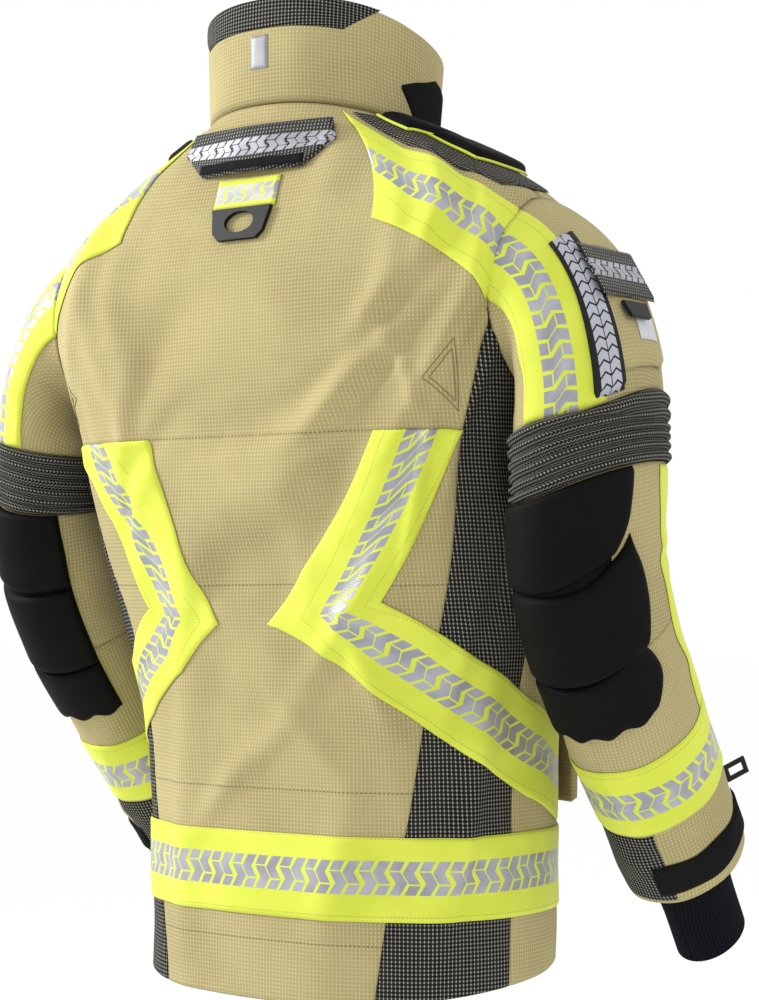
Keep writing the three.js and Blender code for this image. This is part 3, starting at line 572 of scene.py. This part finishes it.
PIECE_BACK = [[45, 0.808], [47, 0.785], [49, 0.766], [60, 0.741], [72, 0.724]]
PIECE_FRONT = [[112, 0.808], [112, 0.790], [114, 0.772], [112, 0.750], [108, 0.733]]
for name, side in (("right", 1), ("left", -1)):
    sided = lambda edge: [[side * a, b] for a, b in edge]
    t, h = ribbon_grid(sided(CHEVRON_LOW[side]), sided(CHEVRON_HIGH[side]))
    patch(f"chevron_band_{name}", [f"chevron_tape_{name}"], on_body, t, h, 0.0026, 0.0010, lime_tape, "coat",
          edge=0.0012)
    t, h = ribbon_grid(sided(SHOULDER_LOW), sided(SHOULDER_HIGH))
    patch(f"shoulder_band_{name}", [f"shoulder_tape_{name}"], on_body, t, h, TRIM_OUT, TRIM_IN, lime_tape,
          "coat", edge=0.0012)
    t, h = ribbon_grid(sided(PIECE_BACK), sided(PIECE_FRONT))
    patch(f"shoulder_cloth_{name}", [f"shoulder_piece_{name}"], on_body, t, h, TRIM_OUT, TRIM_IN, dark,
          "coat", edge=0.0012)

# Shoulder pads: two stuffed lobes on each shoulder under the straps of a breathing set, piped in lime.
hide, hide_shader = start_material("pad_hide", roughness=0.7, specular=0.08)
grain = noise(420.0, 4.0)
finish_material(hide_shader, colour_mix(noise(18.0), (0.0022, 0.0022, 0.0023), (0.0048, 0.0048, 0.0050)), grain, 0.35,
                0.0005)


def tube(name, path, radius, material, body):
    curve = bpy.data.curves.new(name, "CURVE")
    curve.dimensions, curve.bevel_depth, curve.bevel_resolution = "3D", radius, 3
    curve.use_fill_caps = True
    line = curve.splines.new("POLY")
    line.points.add(len(path) - 1)
    line.points.foreach_set("co", np.concatenate([path, np.ones((len(path), 1))], 1).reshape(-1).tolist())
    curve.materials.append(material)
    piece = bpy.data.objects.new(name, curve)
    bpy.context.scene.collection.objects.link(piece)
    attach(piece, body)


def edge_line(points, count=60):
    """Turns and heights at even shares of a polyline."""
    points = np.array(points, float)
    share = np.linspace(0, len(points) - 1, count)
    index = np.arange(len(points))
    return np.interp(share, index, points[:, 0]), np.interp(share, index, points[:, 1])


PIPING_SEAT, PIPING_RADIUS = 0.0042, 0.0014
for name, side in (("right", 1), ("left", -1)):
    lobes = (("inner", [[55, 0.804], [57, 0.783]], [[105, 0.804], [105, 0.783]]),
             ("outer", [[66, 0.782], [72, 0.752]], [[107, 0.782], [107, 0.752]]))
    for lobe, back, front in lobes:
        t, h = ribbon_grid([[side * a, b] for a, b in back], [[side * a, b] for a, b in front])
        patch(f"shoulder_pad_{lobe}_hide_{name}", [f"shoulder_pad_{lobe}_{name}"], on_body, t, h, 0.0115, 0.0035,
              hide, "coat", edge=0.010, soft=0.7)
        for suffix, ends, count in (("", (back[1], front[1]), 60), ("_back", (back[0], back[1]), 20)):
            turn, height = edge_line(ends, count)
            tube(f"shoulder_piping_{lobe}{suffix}_{name}", on_body(side * turn, height, PIPING_SEAT), PIPING_RADIUS,
                 lime_plain, "coat")

# Stitching that shows on the back: the ends of the inner straps make a sewn triangle below each shoulder blade.
thread, thread_shader = start_material("thread", roughness=0.8)
finish_material(thread_shader, colour_mix(noise(200.0), (0.16, 0.12, 0.05), (0.24, 0.19, 0.09)), noise(900.0), 0.4)
for name, side in (("right", 1), ("left", -1)):
    for ring, grow in (("outer", 1.0), ("inner", 0.72)):
        middle = np.array([46.0, 0.554])
        corners = [middle + (np.array(c) - middle) * grow for c in ((46, 0.586), (37, 0.553), (55, 0.524), (46, 0.586))]
        turn, height = edge_line(corners, 90)
        tube(f"strap_stitch_{ring}_{name}", on_body(side * turn, height, 0.0002), 0.0004, thread, "coat")

# Collar: a stiff stand of three layers that closes under the chin, darker inside and along the back of its top.
COLLAR_HEIGHT, COLLAR_WALL = 0.097, 0.006
COLLAR_WAVES = [(50, 0.45, 9, 0.25, 0.0032), (66, 0.35, 8, 0.25, -0.0026), (20, 0.4, 10, 0.3, 0.0022),
                (-24, 0.5, 14, 0.5, 0.0012), (84, 0.6, 10, 0.4, 0.0016), (100, 0.3, 10, 0.4, -0.0012)]


def collar_point(turn, share, offset):
    turn, share = np.broadcast_arrays(np.asarray(turn, float), np.asarray(share, float))
    base = body_point(turn, np.full(turn.shape, NECK))
    centre = np.stack([0 * turn, 0 * turn + 0.046, base[..., 2]], -1)
    out = unit(base - centre)
    push = offset + 0.001 + 0.005 * share
    for t0, s0, wide, tall, rise in COLLAR_WAVES:
        push = push + rise * np.exp(-(((turn - t0) / wide) ** 2) - ((share - s0) / tall) ** 2)
    front = (1 - np.cos(np.radians(turn))) / 2
    up = 0.0009 + share * (COLLAR_HEIGHT - 0.012 * front)
    return base + out * push[..., None] + np.stack([0 * turn, -0.004 * share, up], -1)


def collar_grid(a, b, low, high, step=0.004):
    return np.meshgrid(span(a, b, step / 0.12 * 57.3), span(low, high, step / COLLAR_HEIGHT))


fleece, fleece_shader = start_material("hook_and_loop", roughness=1.0, specular=0.05)
finish_material(fleece_shader, colour_mix(noise(600.0), (0.002, 0.002, 0.002), (0.018, 0.018, 0.019)),
                noise(900.0, 5.0), 0.9, 0.0012)
t, h = collar_grid(-170, 170, 0, 1)
patch("collar_cloth", ["collar"], collar_point, t, h, 0.0, -COLLAR_WALL, khaki, "coat",
      edge=0.0022)
badge, badge_shader = start_material("film_badge", roughness=0.45, metallic=0.2)
finish_material(badge_shader, colour_mix(noise(50.0), (0.24, 0.24, 0.26), (0.34, 0.34, 0.37)), noise(300.0), 0.2)
t, h = collar_grid(-4, 4, 0.34, 0.66, 0.003)
patch("collar_badge", [], collar_point, t, h, 0.0009, 0.0002, badge, "coat", edge=0.0006)
rows = span(0.72, 1.0, 0.04)[:, None]
t = np.linspace(-1, 1, 60)[None, :] * (42 + 20 * (rows - 0.72) / 0.28)
patch("collar_band", [], collar_point, t, np.broadcast_to(rows, t.shape), 0.0009, 0.0002, dark, "coat",
      edge=0.001)
t, h = collar_grid(-164, 164, 0.04, 0.985)
patch("collar_facing", [], collar_point, t, h, -COLLAR_WALL - 0.0003, -COLLAR_WALL - 0.0012, dark, "coat")
rows = span(0.08, 0.66, 0.035)[:, None]
back_edge = np.interp(rows, [0.08, 0.36, 0.66], [88, 76, 104])
t = back_edge + (152 - back_edge) * np.linspace(0, 1, 46)[None, :]
h = np.broadcast_to(rows, t.shape)
patch("collar_fleece", ["collar_loop_patch"], collar_point, t, h, 0.0017, 0.0003, fleece, "coat",
      edge=0.002)
t, h = collar_grid(-156, -204, 0.16, 0.60)
patch("throat_tab_cloth", ["throat_tab"], collar_point, t, h, 0.0031, 0.0006, dark, "throat_tab",
      edge=0.002)
webbing, webbing_shader = start_material("webbing", roughness=0.85, specular=0.1)
wu, wv = cloth_uv()
finish_material(webbing_shader, colour_mix(noise(90.0), (0.004, 0.004, 0.0045), (0.012, 0.012, 0.013)),
                (wu * 2400).wave() * (wv * 1800).wave(), 0.6)
t, h = collar_grid(-20, 20, 0.20, 0.30, 0.002)
loop_point = lambda t, h, o: collar_point(t, h, o - COLLAR_WALL - 0.0003 - 0.009 * np.cos(t / 20 * math.pi / 2))
patch("hanger_loop_web", ["hanger_loop"], loop_point, t, h, 0.0, -0.0016, webbing, "coat")

# Drag rescue: a stiff flap on the yoke lifts to free a webbing tab with a plastic pull handle.
flap_top = on_body(0, 0.796, 0.0009)
flap_low = on_body(0, 0.749, 0.007)


def flap_point(x, share, offset):
    base = flap_top[None, None] * (1 - share[..., None]) + flap_low[None, None] * share[..., None]
    y = base[..., 1] - 0.010 * np.maximum(0, np.abs(x) / 0.072 - 0.2) + offset
    return np.stack([x, y, base[..., 2] + offset], -1)


tape_on_dark = tape_material("tape_on_dark", INK, INK_DEEP, dots=True, band=0.018, period=0.021, stitch=0.0195)
share = span(0, 1, 0.05)[:, None]
half = np.interp(share, [0, 0.45, 0.9, 1], [0.080, 0.088, 0.064, 0.058])
x = half * np.linspace(-1, 1, 60)[None, :]
patch("yoke_flap_cloth", ["yoke_flap"], flap_point, x, np.broadcast_to(share, x.shape), 0.0025, 0.0, tape_on_dark,
      "yoke_flap", edge=0.0018)
x, t = np.meshgrid(np.linspace(-0.060, 0.060, 40), span(0.80, 0.99, 0.04))
patch("yoke_flap_binding", [], flap_point, x, t, 0.0034, 0.0027, webbing, "yoke_flap",
      edge=0.001)
tab_top, tab_low = on_body(0, 0.746, 0.0009), on_body(0, 0.717, 0.0009)
tab_point = lambda x, share, o: (tab_top[None, None] * (1 - share[..., None]) + tab_low[None, None]
                                 * share[..., None] + np.stack([x, o, 0 * o], -1))
x, t = np.meshgrid(np.linspace(-0.036, 0.036, 36), span(0, 1, 0.06))
lime_small = tape_material("lime_tape_small", LIME, LIME_DEEP, band=0.018, period=0.022, stitch=0.013)
patch("drag_tab_tape", ["drag_tab"], tab_point, x, t, 0.0022, 0.0, lime_small, "drag_loop",
      edge=0.0012)
plastic, plastic_shader = start_material("black_plastic", roughness=0.5, specular=0.2)
spot = Socket(Socket.node("ShaderNodeTexCoord").outputs["Object"])
finish_material(plastic_shader, colour_mix(noise(40.0, at=spot), (0.003, 0.003, 0.003), (0.008, 0.008, 0.008)),
                noise(500.0, at=spot), 0.15)


def dress(node, material, width=0.0008):
    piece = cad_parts[node]
    piece.data.materials.clear()
    piece.data.materials.append(material)
    soften = piece.modifiers.new("edges", "BEVEL")
    soften.width, soften.segments, soften.limit_method = width, 2, "ANGLE"


for node in ("drag_handle", "sleeve_pocket_grip", "cuff_ring_right", "cuff_ring_left"):
    dress(node, plastic)

# Sleeves: cut curved for arms that hang forward, set into oval armholes, with a pleated dark bellows below
# the shoulder, a khaki elbow and forearm, and a knitted wristlet sewn inside the cuff.
# SLEEVE rows: height, distance to the side, y, half width and half depth of a ring across the arm.
SLEEVE = np.array([
    [0.520, 0.306, 0.066, 0.055, 0.088], [0.460, 0.308, 0.068, 0.056, 0.085], [0.400, 0.303, 0.062, 0.058, 0.080],
    [0.340, 0.301, 0.038, 0.059, 0.075], [0.270, 0.299, -0.010, 0.059, 0.071], [0.200, 0.297, -0.063, 0.057, 0.068],
    [0.130, 0.295, -0.116, 0.055, 0.065], [0.070, 0.293, -0.158, 0.053, 0.062], [0.000, 0.291, -0.206, 0.052, 0.060],
])[::-1]
CAP_END, BELLOWS_END, ELBOW_END, CUFF_END, WRIST_END = 0.515, 0.462, 0.335, 0.123, 0.046
SLEEVE_WAVES = [
    (60, 0.440, -30, 26, 0.012, 0.0030), (10, 0.425, 40, 30, 0.012, 0.0026), (100, 0.405, 30, 24, 0.010, 0.0026),
    (-60, 0.41, 20, 30, 0.02, 0.0026), (60, 0.225, 20, 26, 0.014, 0.0016), (30, 0.175, -60, 30, 0.010, 0.0026),
    (80, 0.150, 60, 26, 0.012, 0.0026), (-30, 0.26, 40, 24, 0.016, 0.0030), (150, 0.38, 30, 30, 0.012, 0.0030),
    (100, 0.30, -40, 22, 0.012, 0.0026), (-20, 0.16, 40, 24, 0.014, 0.0024), (40, 0.575, 60, 26, 0.016, 0.0020),
    (-10, 0.56, -60, 26, 0.014, 0.0028), (70, 0.545, 40, 24, 0.010, 0.0018), (200, 0.22, 30, 40, 0.02, 0.0030),
]


def sleeve_frame(side, height):
    at = lambda h: np.stack([-side * smooth(SLEEVE, 1, h), smooth(SLEEVE, 2, h), h], -1)
    along = unit(at(height - 0.008) - at(height + 0.008))
    out = np.zeros(along.shape)
    out[..., 0] = -side
    out = unit(out - along * np.sum(out * along, -1, keepdims=True))
    return at(height), along, out, np.cross(along, out) * side


def sleeve_ring(side, turn, height, offset):
    centre, along, out, back = sleeve_frame(side, height)
    c, s = np.cos(np.radians(turn)), np.sin(np.radians(turn))
    return (centre + out * (s * (smooth(SLEEVE, 3, height) + offset))[..., None]
            + back * (c * (smooth(SLEEVE, 4, height) + offset))[..., None])


def sleeve_point(side, turn, height, offset, loose=1.0):
    turn, height, offset = np.broadcast_arrays(turn, height, offset)
    height = height + 0.021 * np.cos(np.radians(turn - 126)) * np.exp(-(((height - 0.480) / 0.055) ** 2))
    wrinkle = 0.0005 * np.sin(np.radians(turn) * 7 + height * 90) * np.ones(turn.shape)
    for t0, h0, lean, wide, tall, rise in SLEEVE_WAVES:
        delta = (turn - t0 + 180) % 360 - 180
        wrinkle = wrinkle + rise * np.exp(-(((height - h0 - delta * lean * 0.00001) / tall) ** 2) - (delta / wide) ** 2)
    offset = offset + loose * wrinkle * np.clip((0.612 - height) / 0.03, 0, 1)
    below = sleeve_ring(side, turn, np.minimum(height, CAP_END), offset)
    share = np.clip((height - CAP_END) / 0.100, 0, 1)
    c, s = np.cos(np.radians(turn)), np.sin(np.radians(turn))
    y, z = 0.050 + (0.096 + offset) * c, 0.627 + (0.090 + offset) * s
    centre, square = smooth(BODY, 4, z), smooth(BODY, 5, z)
    depth = np.where(y > centre, smooth(BODY, 2, z), smooth(BODY, 3, z))
    half = smooth(BODY, 1, z) * (1 - np.minimum(np.abs(y - centre) / depth, 0.985) ** square) ** (1 / square)
    start = np.stack([-side * (half + 0.0006), y, z], -1)
    top = np.full(turn.shape, CAP_END)
    end = sleeve_ring(side, turn, top, offset)
    reach = np.linalg.norm(start - end, axis=-1, keepdims=True)
    leave = unit(np.stack([-side + 0 * s, 0 * s, -(0.22 + 0.28 * np.maximum(s, 0))], -1)) * reach * 1.1
    arrive = sleeve_frame(side, top)[1] * reach * 0.9
    t = (1 - share)[..., None]
    cap = (start * (2 * t**3 - 3 * t**2 + 1) + leave * (t**3 - 2 * t**2 + t)
           + end * (3 * t**2 - 2 * t**3) + arrive * (t**3 - t**2))
    return np.where((height > CAP_END)[..., None], cap, below)


knit, knit_shader = start_material("knit_wristlet", roughness=0.95, specular=0.05)
ku, kv = cloth_uv()
rib = (ku * 1800).wave() * 0.5 + (kv * 3100).wave() * (ku * 3600).wave() * 0.3
# The colour follows the rib height, darker in the knit's valleys and lighter on its raised ribs: painted shade.
finish_material(knit_shader, colour_mix(rib.soften(-0.5, 0.6), (0.004, 0.005, 0.008), (0.011, 0.012, 0.018)), rib,
                1.0, 0.0015)
TURNS = np.linspace(0, 360, 133)[:-1][None, :]
PAD_BACK = -45
for name, side in (("right", 1), ("left", -1)):
    body, fore = f"{name}_sleeve", f"{name}_forearm"
    point = lambda t, h, o: sleeve_point(side, t, h, o)
    stiff = lambda t, h, o: sleeve_point(side, t, h, o, 0.35)
    shoulder = ("coat", body, (-side * 0.250, 0.05, 0.54375), (-side * 0.289, 0.05, 0.49175))
    elbow = (body, fore, (-side * 0.3012, 0.04, 0.410), (-side * 0.3012, 0.04, 0.336))
    rows = span(0.6149, CAP_END, 0.0030)[:, None]
    patch(f"sleeve_cap_cloth_{name}", [f"sleeve_cap_{name}"], point, TURNS, rows, 0.0, -0.004, khaki, shoulder,
          closed=True)
    rows = span(CAP_END - 0.0005, BELLOWS_END + 0.0005, 0.0012)[:, None]
    pleats = np.abs(np.sin((CAP_END - rows) / (CAP_END - BELLOWS_END) * math.pi * 6)) ** 0.8
    patch(f"bellows_cloth_{name}", [f"bellows_{name}"], point, TURNS, rows, 0.0005, -0.004, dark, shoulder,
          closed=True, ripple=0.0055 * pleats * np.ones(TURNS.shape))
    rows = span(BELLOWS_END, ELBOW_END + 0.0005)[:, None]
    patch(f"elbow_cloth_{name}", [f"elbow_section_{name}"], point, TURNS, rows, 0.0, -0.004, khaki, elbow,
          closed=True)
    rows = span(ELBOW_END, CUFF_END)[:, None]
    patch(f"forearm_cloth_{name}", [f"forearm_{name}"], point, TURNS, rows, 0.0, -0.004, khaki, fore,
          closed=True)
    t, h = np.meshgrid(span(-100, 22, 3.2), span(0.1905, 0.126))
    patch(f"forearm_under_{name}", [], point, t, h, 0.0008, 0.0002, dark, fore,
          edge=0.001)
    rows = span(CUFF_END + 0.012, WRIST_END)[:, None]
    cuff_point = lambda t, h, o: sleeve_point(side, t, h, o + np.interp(
        h, [WRIST_END, 0.0845, 0.115, 0.125, 0.135], [-0.021, -0.022, -0.021, -0.007, -0.0048]), 0.0)
    patch(f"wristlet_knit_{name}", [f"wristlet_{name}"], cuff_point, TURNS, rows, 0.0, -0.0025, knit, fore,
          closed=True)
    rows, share = span(0.614, CAP_END + 0.001)[:, None], np.linspace(0, 1, 28)[None, :]
    lean = (0.614 - rows) / 0.099
    t, h = np.broadcast_arrays(-6 - 8 * lean + (60 + 10 * lean) * share, rows)
    patch(f"sleeve_band_{name}", [f"sleeve_tape_{name}"], point, t, h, 0.0020, 0.0006, lime_upright, shoulder,
          edge=0.0012)
    t, h = np.meshgrid(span(108, 132, 2.2), span(BELLOWS_END - 0.002, 0.253))
    patch(f"front_band_{name}", [f"front_tape_{name}"], point, t, h, 0.0020, 0.0006, lime_plain, elbow,
          edge=0.0012)
    rows = span(0.252, 0.192)[:, None]
    patch(f"forearm_band_{name}", [f"forearm_tape_{name}"], point, TURNS, rows, 0.0020, 0.0006, lime_tape, fore,
          closed=True, edge=0.0012)
    t, h = np.meshgrid(span(PAD_BACK, 56, 2.2), span(BELLOWS_END - 0.001, 0.292))
    patch(f"elbow_backing_{name}", [], point, t, h, 0.0009, 0.0002, hide, elbow)
    side_share, fall = np.meshgrid(np.linspace(0, 1, 74), np.linspace(0, 1, 34))
    scallop = 0.002 * np.cos(side_share * 26)
    pads = ((0.4615 + 0 * side_share, 0.388 + 0.022 * side_share**4, 74 - 17 * fall**2, body),
            (0.3875 + 0.036 * side_share**6, 0.325 + 0.012 * side_share**3, 71 + 10 * np.sin(math.pi * fall), fore),
            (0.3245 + 0.022 * side_share**5, 0.282 + scallop + 0.006 * side_share**2,
             61 + 15 * np.sin(math.pi * fall), fore))
    for k, (top, low, right, rider) in enumerate(pads):
        t = PAD_BACK + (right - PAD_BACK) * side_share
        h = top + (low - top) * fall
        patch(f"elbow_pad_{k + 1}_hide_{name}", [f"elbow_pad_{k + 1}_{name}"], stiff, t, h, 0.0086 - 0.001 * k, 0.0010,
              hide, rider, edge=0.007, soft=0.6)
    t, h = np.meshgrid(span(8, 135, 2.2), span(0.160, 0.132))
    patch(f"cuff_strap_fleece_{name}", [f"cuff_strap_{name}"], point, t, h, 0.0031, 0.0006, fleece,
          f"{name}_cuff_strap", edge=0.0014)

# Pocket on the outside of the wearer's right upper arm: a bellows bag with a stiff flap, a rubber grip,
# a strip with film chevrons down its back edge and a blank label patch.
arm = lambda t, h, o: sleeve_point(1, t, h, o, 0.2)
t, h = np.meshgrid(span(57, 117, 2.2), span(0.583, 0.527))
patch("arm_pocket_bag", ["sleeve_pocket"], arm, t, h, 0.0070, 0.0027, khaki, "right_sleeve",
      edge=0.003)
chevrons, chevron_shader = start_material("film_chevrons", roughness=0.8)
cu, cv = cloth_uv()
column = abs((cu / 0.0125).repeat() - 0.5)
mark = ((cv / 0.0105 - column * 0.9).repeat() < 0.80) * (column < 0.46) * (abs(cu) < 0.0125)
finish_material(chevron_shader, colour_mix(mark, INK, (0.42, 0.43, 0.48)), mark, 0.4)
t, h = np.meshgrid(span(46, 71, 2.0), span(0.592, 0.518))
patch("arm_pocket_strip", [], arm, t, h, 0.0076, 0.0004, chevrons, "right_sleeve",
      edge=0.0008)
label, label_shader = start_material("blank_label", roughness=0.6)
finish_material(label_shader, colour_mix(noise(60.0), (0.50, 0.52, 0.54), (0.62, 0.63, 0.65)), noise(300.0), 0.2)
t, h = np.meshgrid(span(88, 108, 2.0), span(0.553, 0.539))
patch("arm_label_blank", ["sleeve_label_patch"], arm, t, h, 0.0090, 0.0076, label, "right_sleeve",
      edge=0.0006)
top, low = (arm(np.full((1, 1), 88.0), np.full((1, 1), hh), np.full((1, 1), oo))[0, 0]
            for hh, oo in ((0.580, 0.0076), (0.557, 0.0096)))
normal = np.cross(low - top, (0.0, 1.0, 0.0))
normal = normal / np.linalg.norm(normal)
normal = normal if normal[0] < 0 else -normal


def arm_flap_point(y, share, offset):
    return (top[None, None] * (1 - share[..., None]) + low[None, None] * share[..., None]
            + np.stack([0 * y, y, 0 * y], -1) + normal[None, None] * offset[..., None])


y, t = np.meshgrid(np.linspace(-0.044, 0.044, 44), span(0, 1, 0.06))
patch("arm_pocket_flap_cloth", ["sleeve_pocket_flap"], arm_flap_point, y, t, 0.0025, 0.0, tape_on_dark,
      "arm_pocket_flap", edge=0.0018)

# Front: a zip behind a storm flap, and two bellows pockets with flaps low on the fronts.
teeth, teeth_shader = start_material("zip_teeth", roughness=0.4)
zu, zv = cloth_uv()
tooth = (abs(zu) < 0.003) * ((zv / 0.0028).repeat() < 0.55)
finish_material(teeth_shader, colour_mix(tooth, (0.012, 0.012, 0.013), (0.30, 0.28, 0.22)), tooth, 0.8, 0.001)
wide = lambda half: (lambda h: front_turn(half, h), lambda h: 360 - front_turn(half, h))
t, h = body_rows(0.052, 0.800, *wide(0.0154), 0.0028)
patch("zip_chain", ["zip"], on_body, t, h, -0.0015, -0.005, teeth, "coat")
t, h = body_rows(0.060, 0.790, *wide(0.034))
patch("storm_cloth", ["storm_flap"], on_body, t, h, 0.0034, 0.0009, khaki, "coat",
      edge=0.002)
POCKET_LOW, POCKET_TOP, POCKET_HALF, POCKET_DEEP, FLAP_DROP = 0.170, 0.330, 0.062, 0.009, 0.058
POCKET_TURN, POCKET_HALF_HIGH, FLAP_TOP = 143.0, 0.080, 0.078
for name, side in (("right", 1), ("left", -1)):
    turn0, mid = side * POCKET_TURN, (POCKET_LOW + POCKET_TOP) / 2
    normal0 = body_normal(np.array([turn0]), np.array([mid]))[0]
    across = np.cross((0.0, 0.0, 1.0), normal0)
    across = across / np.linalg.norm(across)
    up = np.cross(normal0, across)
    face = body_point(np.array([turn0]), np.array([mid]))[0] + normal0 * POCKET_DEEP
    on_face = lambda u, v, o: (face + across * u[..., None] + up * v[..., None] + normal0 * o[..., None])
    u, v = np.meshgrid(span(-POCKET_HALF, POCKET_HALF), span(-POCKET_HALF_HIGH, POCKET_HALF_HIGH))
    patch(f"lower_{name}_bag", [f"lower_{name}_pocket"], on_face, u, v, 0.0, -0.009, khaki, "coat",
          edge=0.004)
    v, share = np.meshgrid(np.linspace(FLAP_TOP, FLAP_TOP - FLAP_DROP, 18), np.linspace(-1, 1, 50), indexing="ij")
    edge_half = POCKET_HALF + 0.003 - 0.014 * np.clip((FLAP_TOP - v) / FLAP_DROP - 0.75, 0, 1) * 4
    patch(f"lower_{name}_flap_cloth", [f"lower_{name}_flap"], on_face, share * edge_half, v, 0.0031, 0.0006, dark,
          f"lower_{name}_flap", edge=0.002)

# Light, floor and camera: a pale floor where a wearer would stand, a broad key light and a soft surround.
# The camera looks from behind the wearer's right arm, at chest height.
FLOOR, FLOOR_HALF = -0.78, 30
floor_mesh = bpy.data.meshes.new("floor")
corners = [(x, y, FLOOR) for x, y in ((-FLOOR_HALF, -FLOOR_HALF), (FLOOR_HALF, -FLOOR_HALF),
                                      (FLOOR_HALF, FLOOR_HALF), (-FLOOR_HALF, FLOOR_HALF))]
floor_mesh.from_pydata(corners, [], [(0, 1, 2, 3)])
floor = bpy.data.objects.new("floor", floor_mesh)
bpy.context.scene.collection.objects.link(floor)
pale, pale_shader = start_material("pale_floor", roughness=0.9)
pale_shader.inputs["Base Color"].default_value = (0.99, 0.99, 0.99, 1)
floor_mesh.materials.append(pale)


def area_light(name, place_at, aim, size, power):
    lamp = bpy.data.lights.new(name, "AREA")
    lamp.size, lamp.energy = size, power
    holder = bpy.data.objects.new(name, lamp)
    bpy.context.scene.collection.objects.link(holder)
    holder.location = place_at
    holder.rotation_euler = (Vector(aim) - Vector(place_at)).to_track_quat("-Z", "Y").to_euler()


area_light("key", (1.75, 1.05, 1.45), (0, 0, 0.55), 0.5, 50)
area_light("fill", (-2.4, 1.2, 1.6), (0, 0, 0.60), 1.4, 5)
world = bpy.data.worlds.new("surround")
world.use_nodes = True
world.node_tree.nodes["Background"].inputs["Color"].default_value = (1.0, 1.0, 1.0, 1)
world.node_tree.nodes["Background"].inputs["Strength"].default_value = 1.0
bpy.context.scene.world = world
bpy.context.scene.view_settings.view_transform = "Standard"
lens = bpy.data.cameras.new("camera")
lens.lens, lens.sensor_width = 86.0, 36.0
camera = bpy.data.objects.new("camera", lens)
bpy.context.scene.collection.objects.link(camera)
camera.location = (-1.3733, 1.8451, 0.374)
pitch = math.radians(2.04)
look = Vector((0.5878 * math.cos(pitch), -0.8090 * math.cos(pitch), math.sin(pitch)))
camera.rotation_euler = look.to_track_quat("-Z", "Y").to_euler()
bpy.context.scene.camera = camera
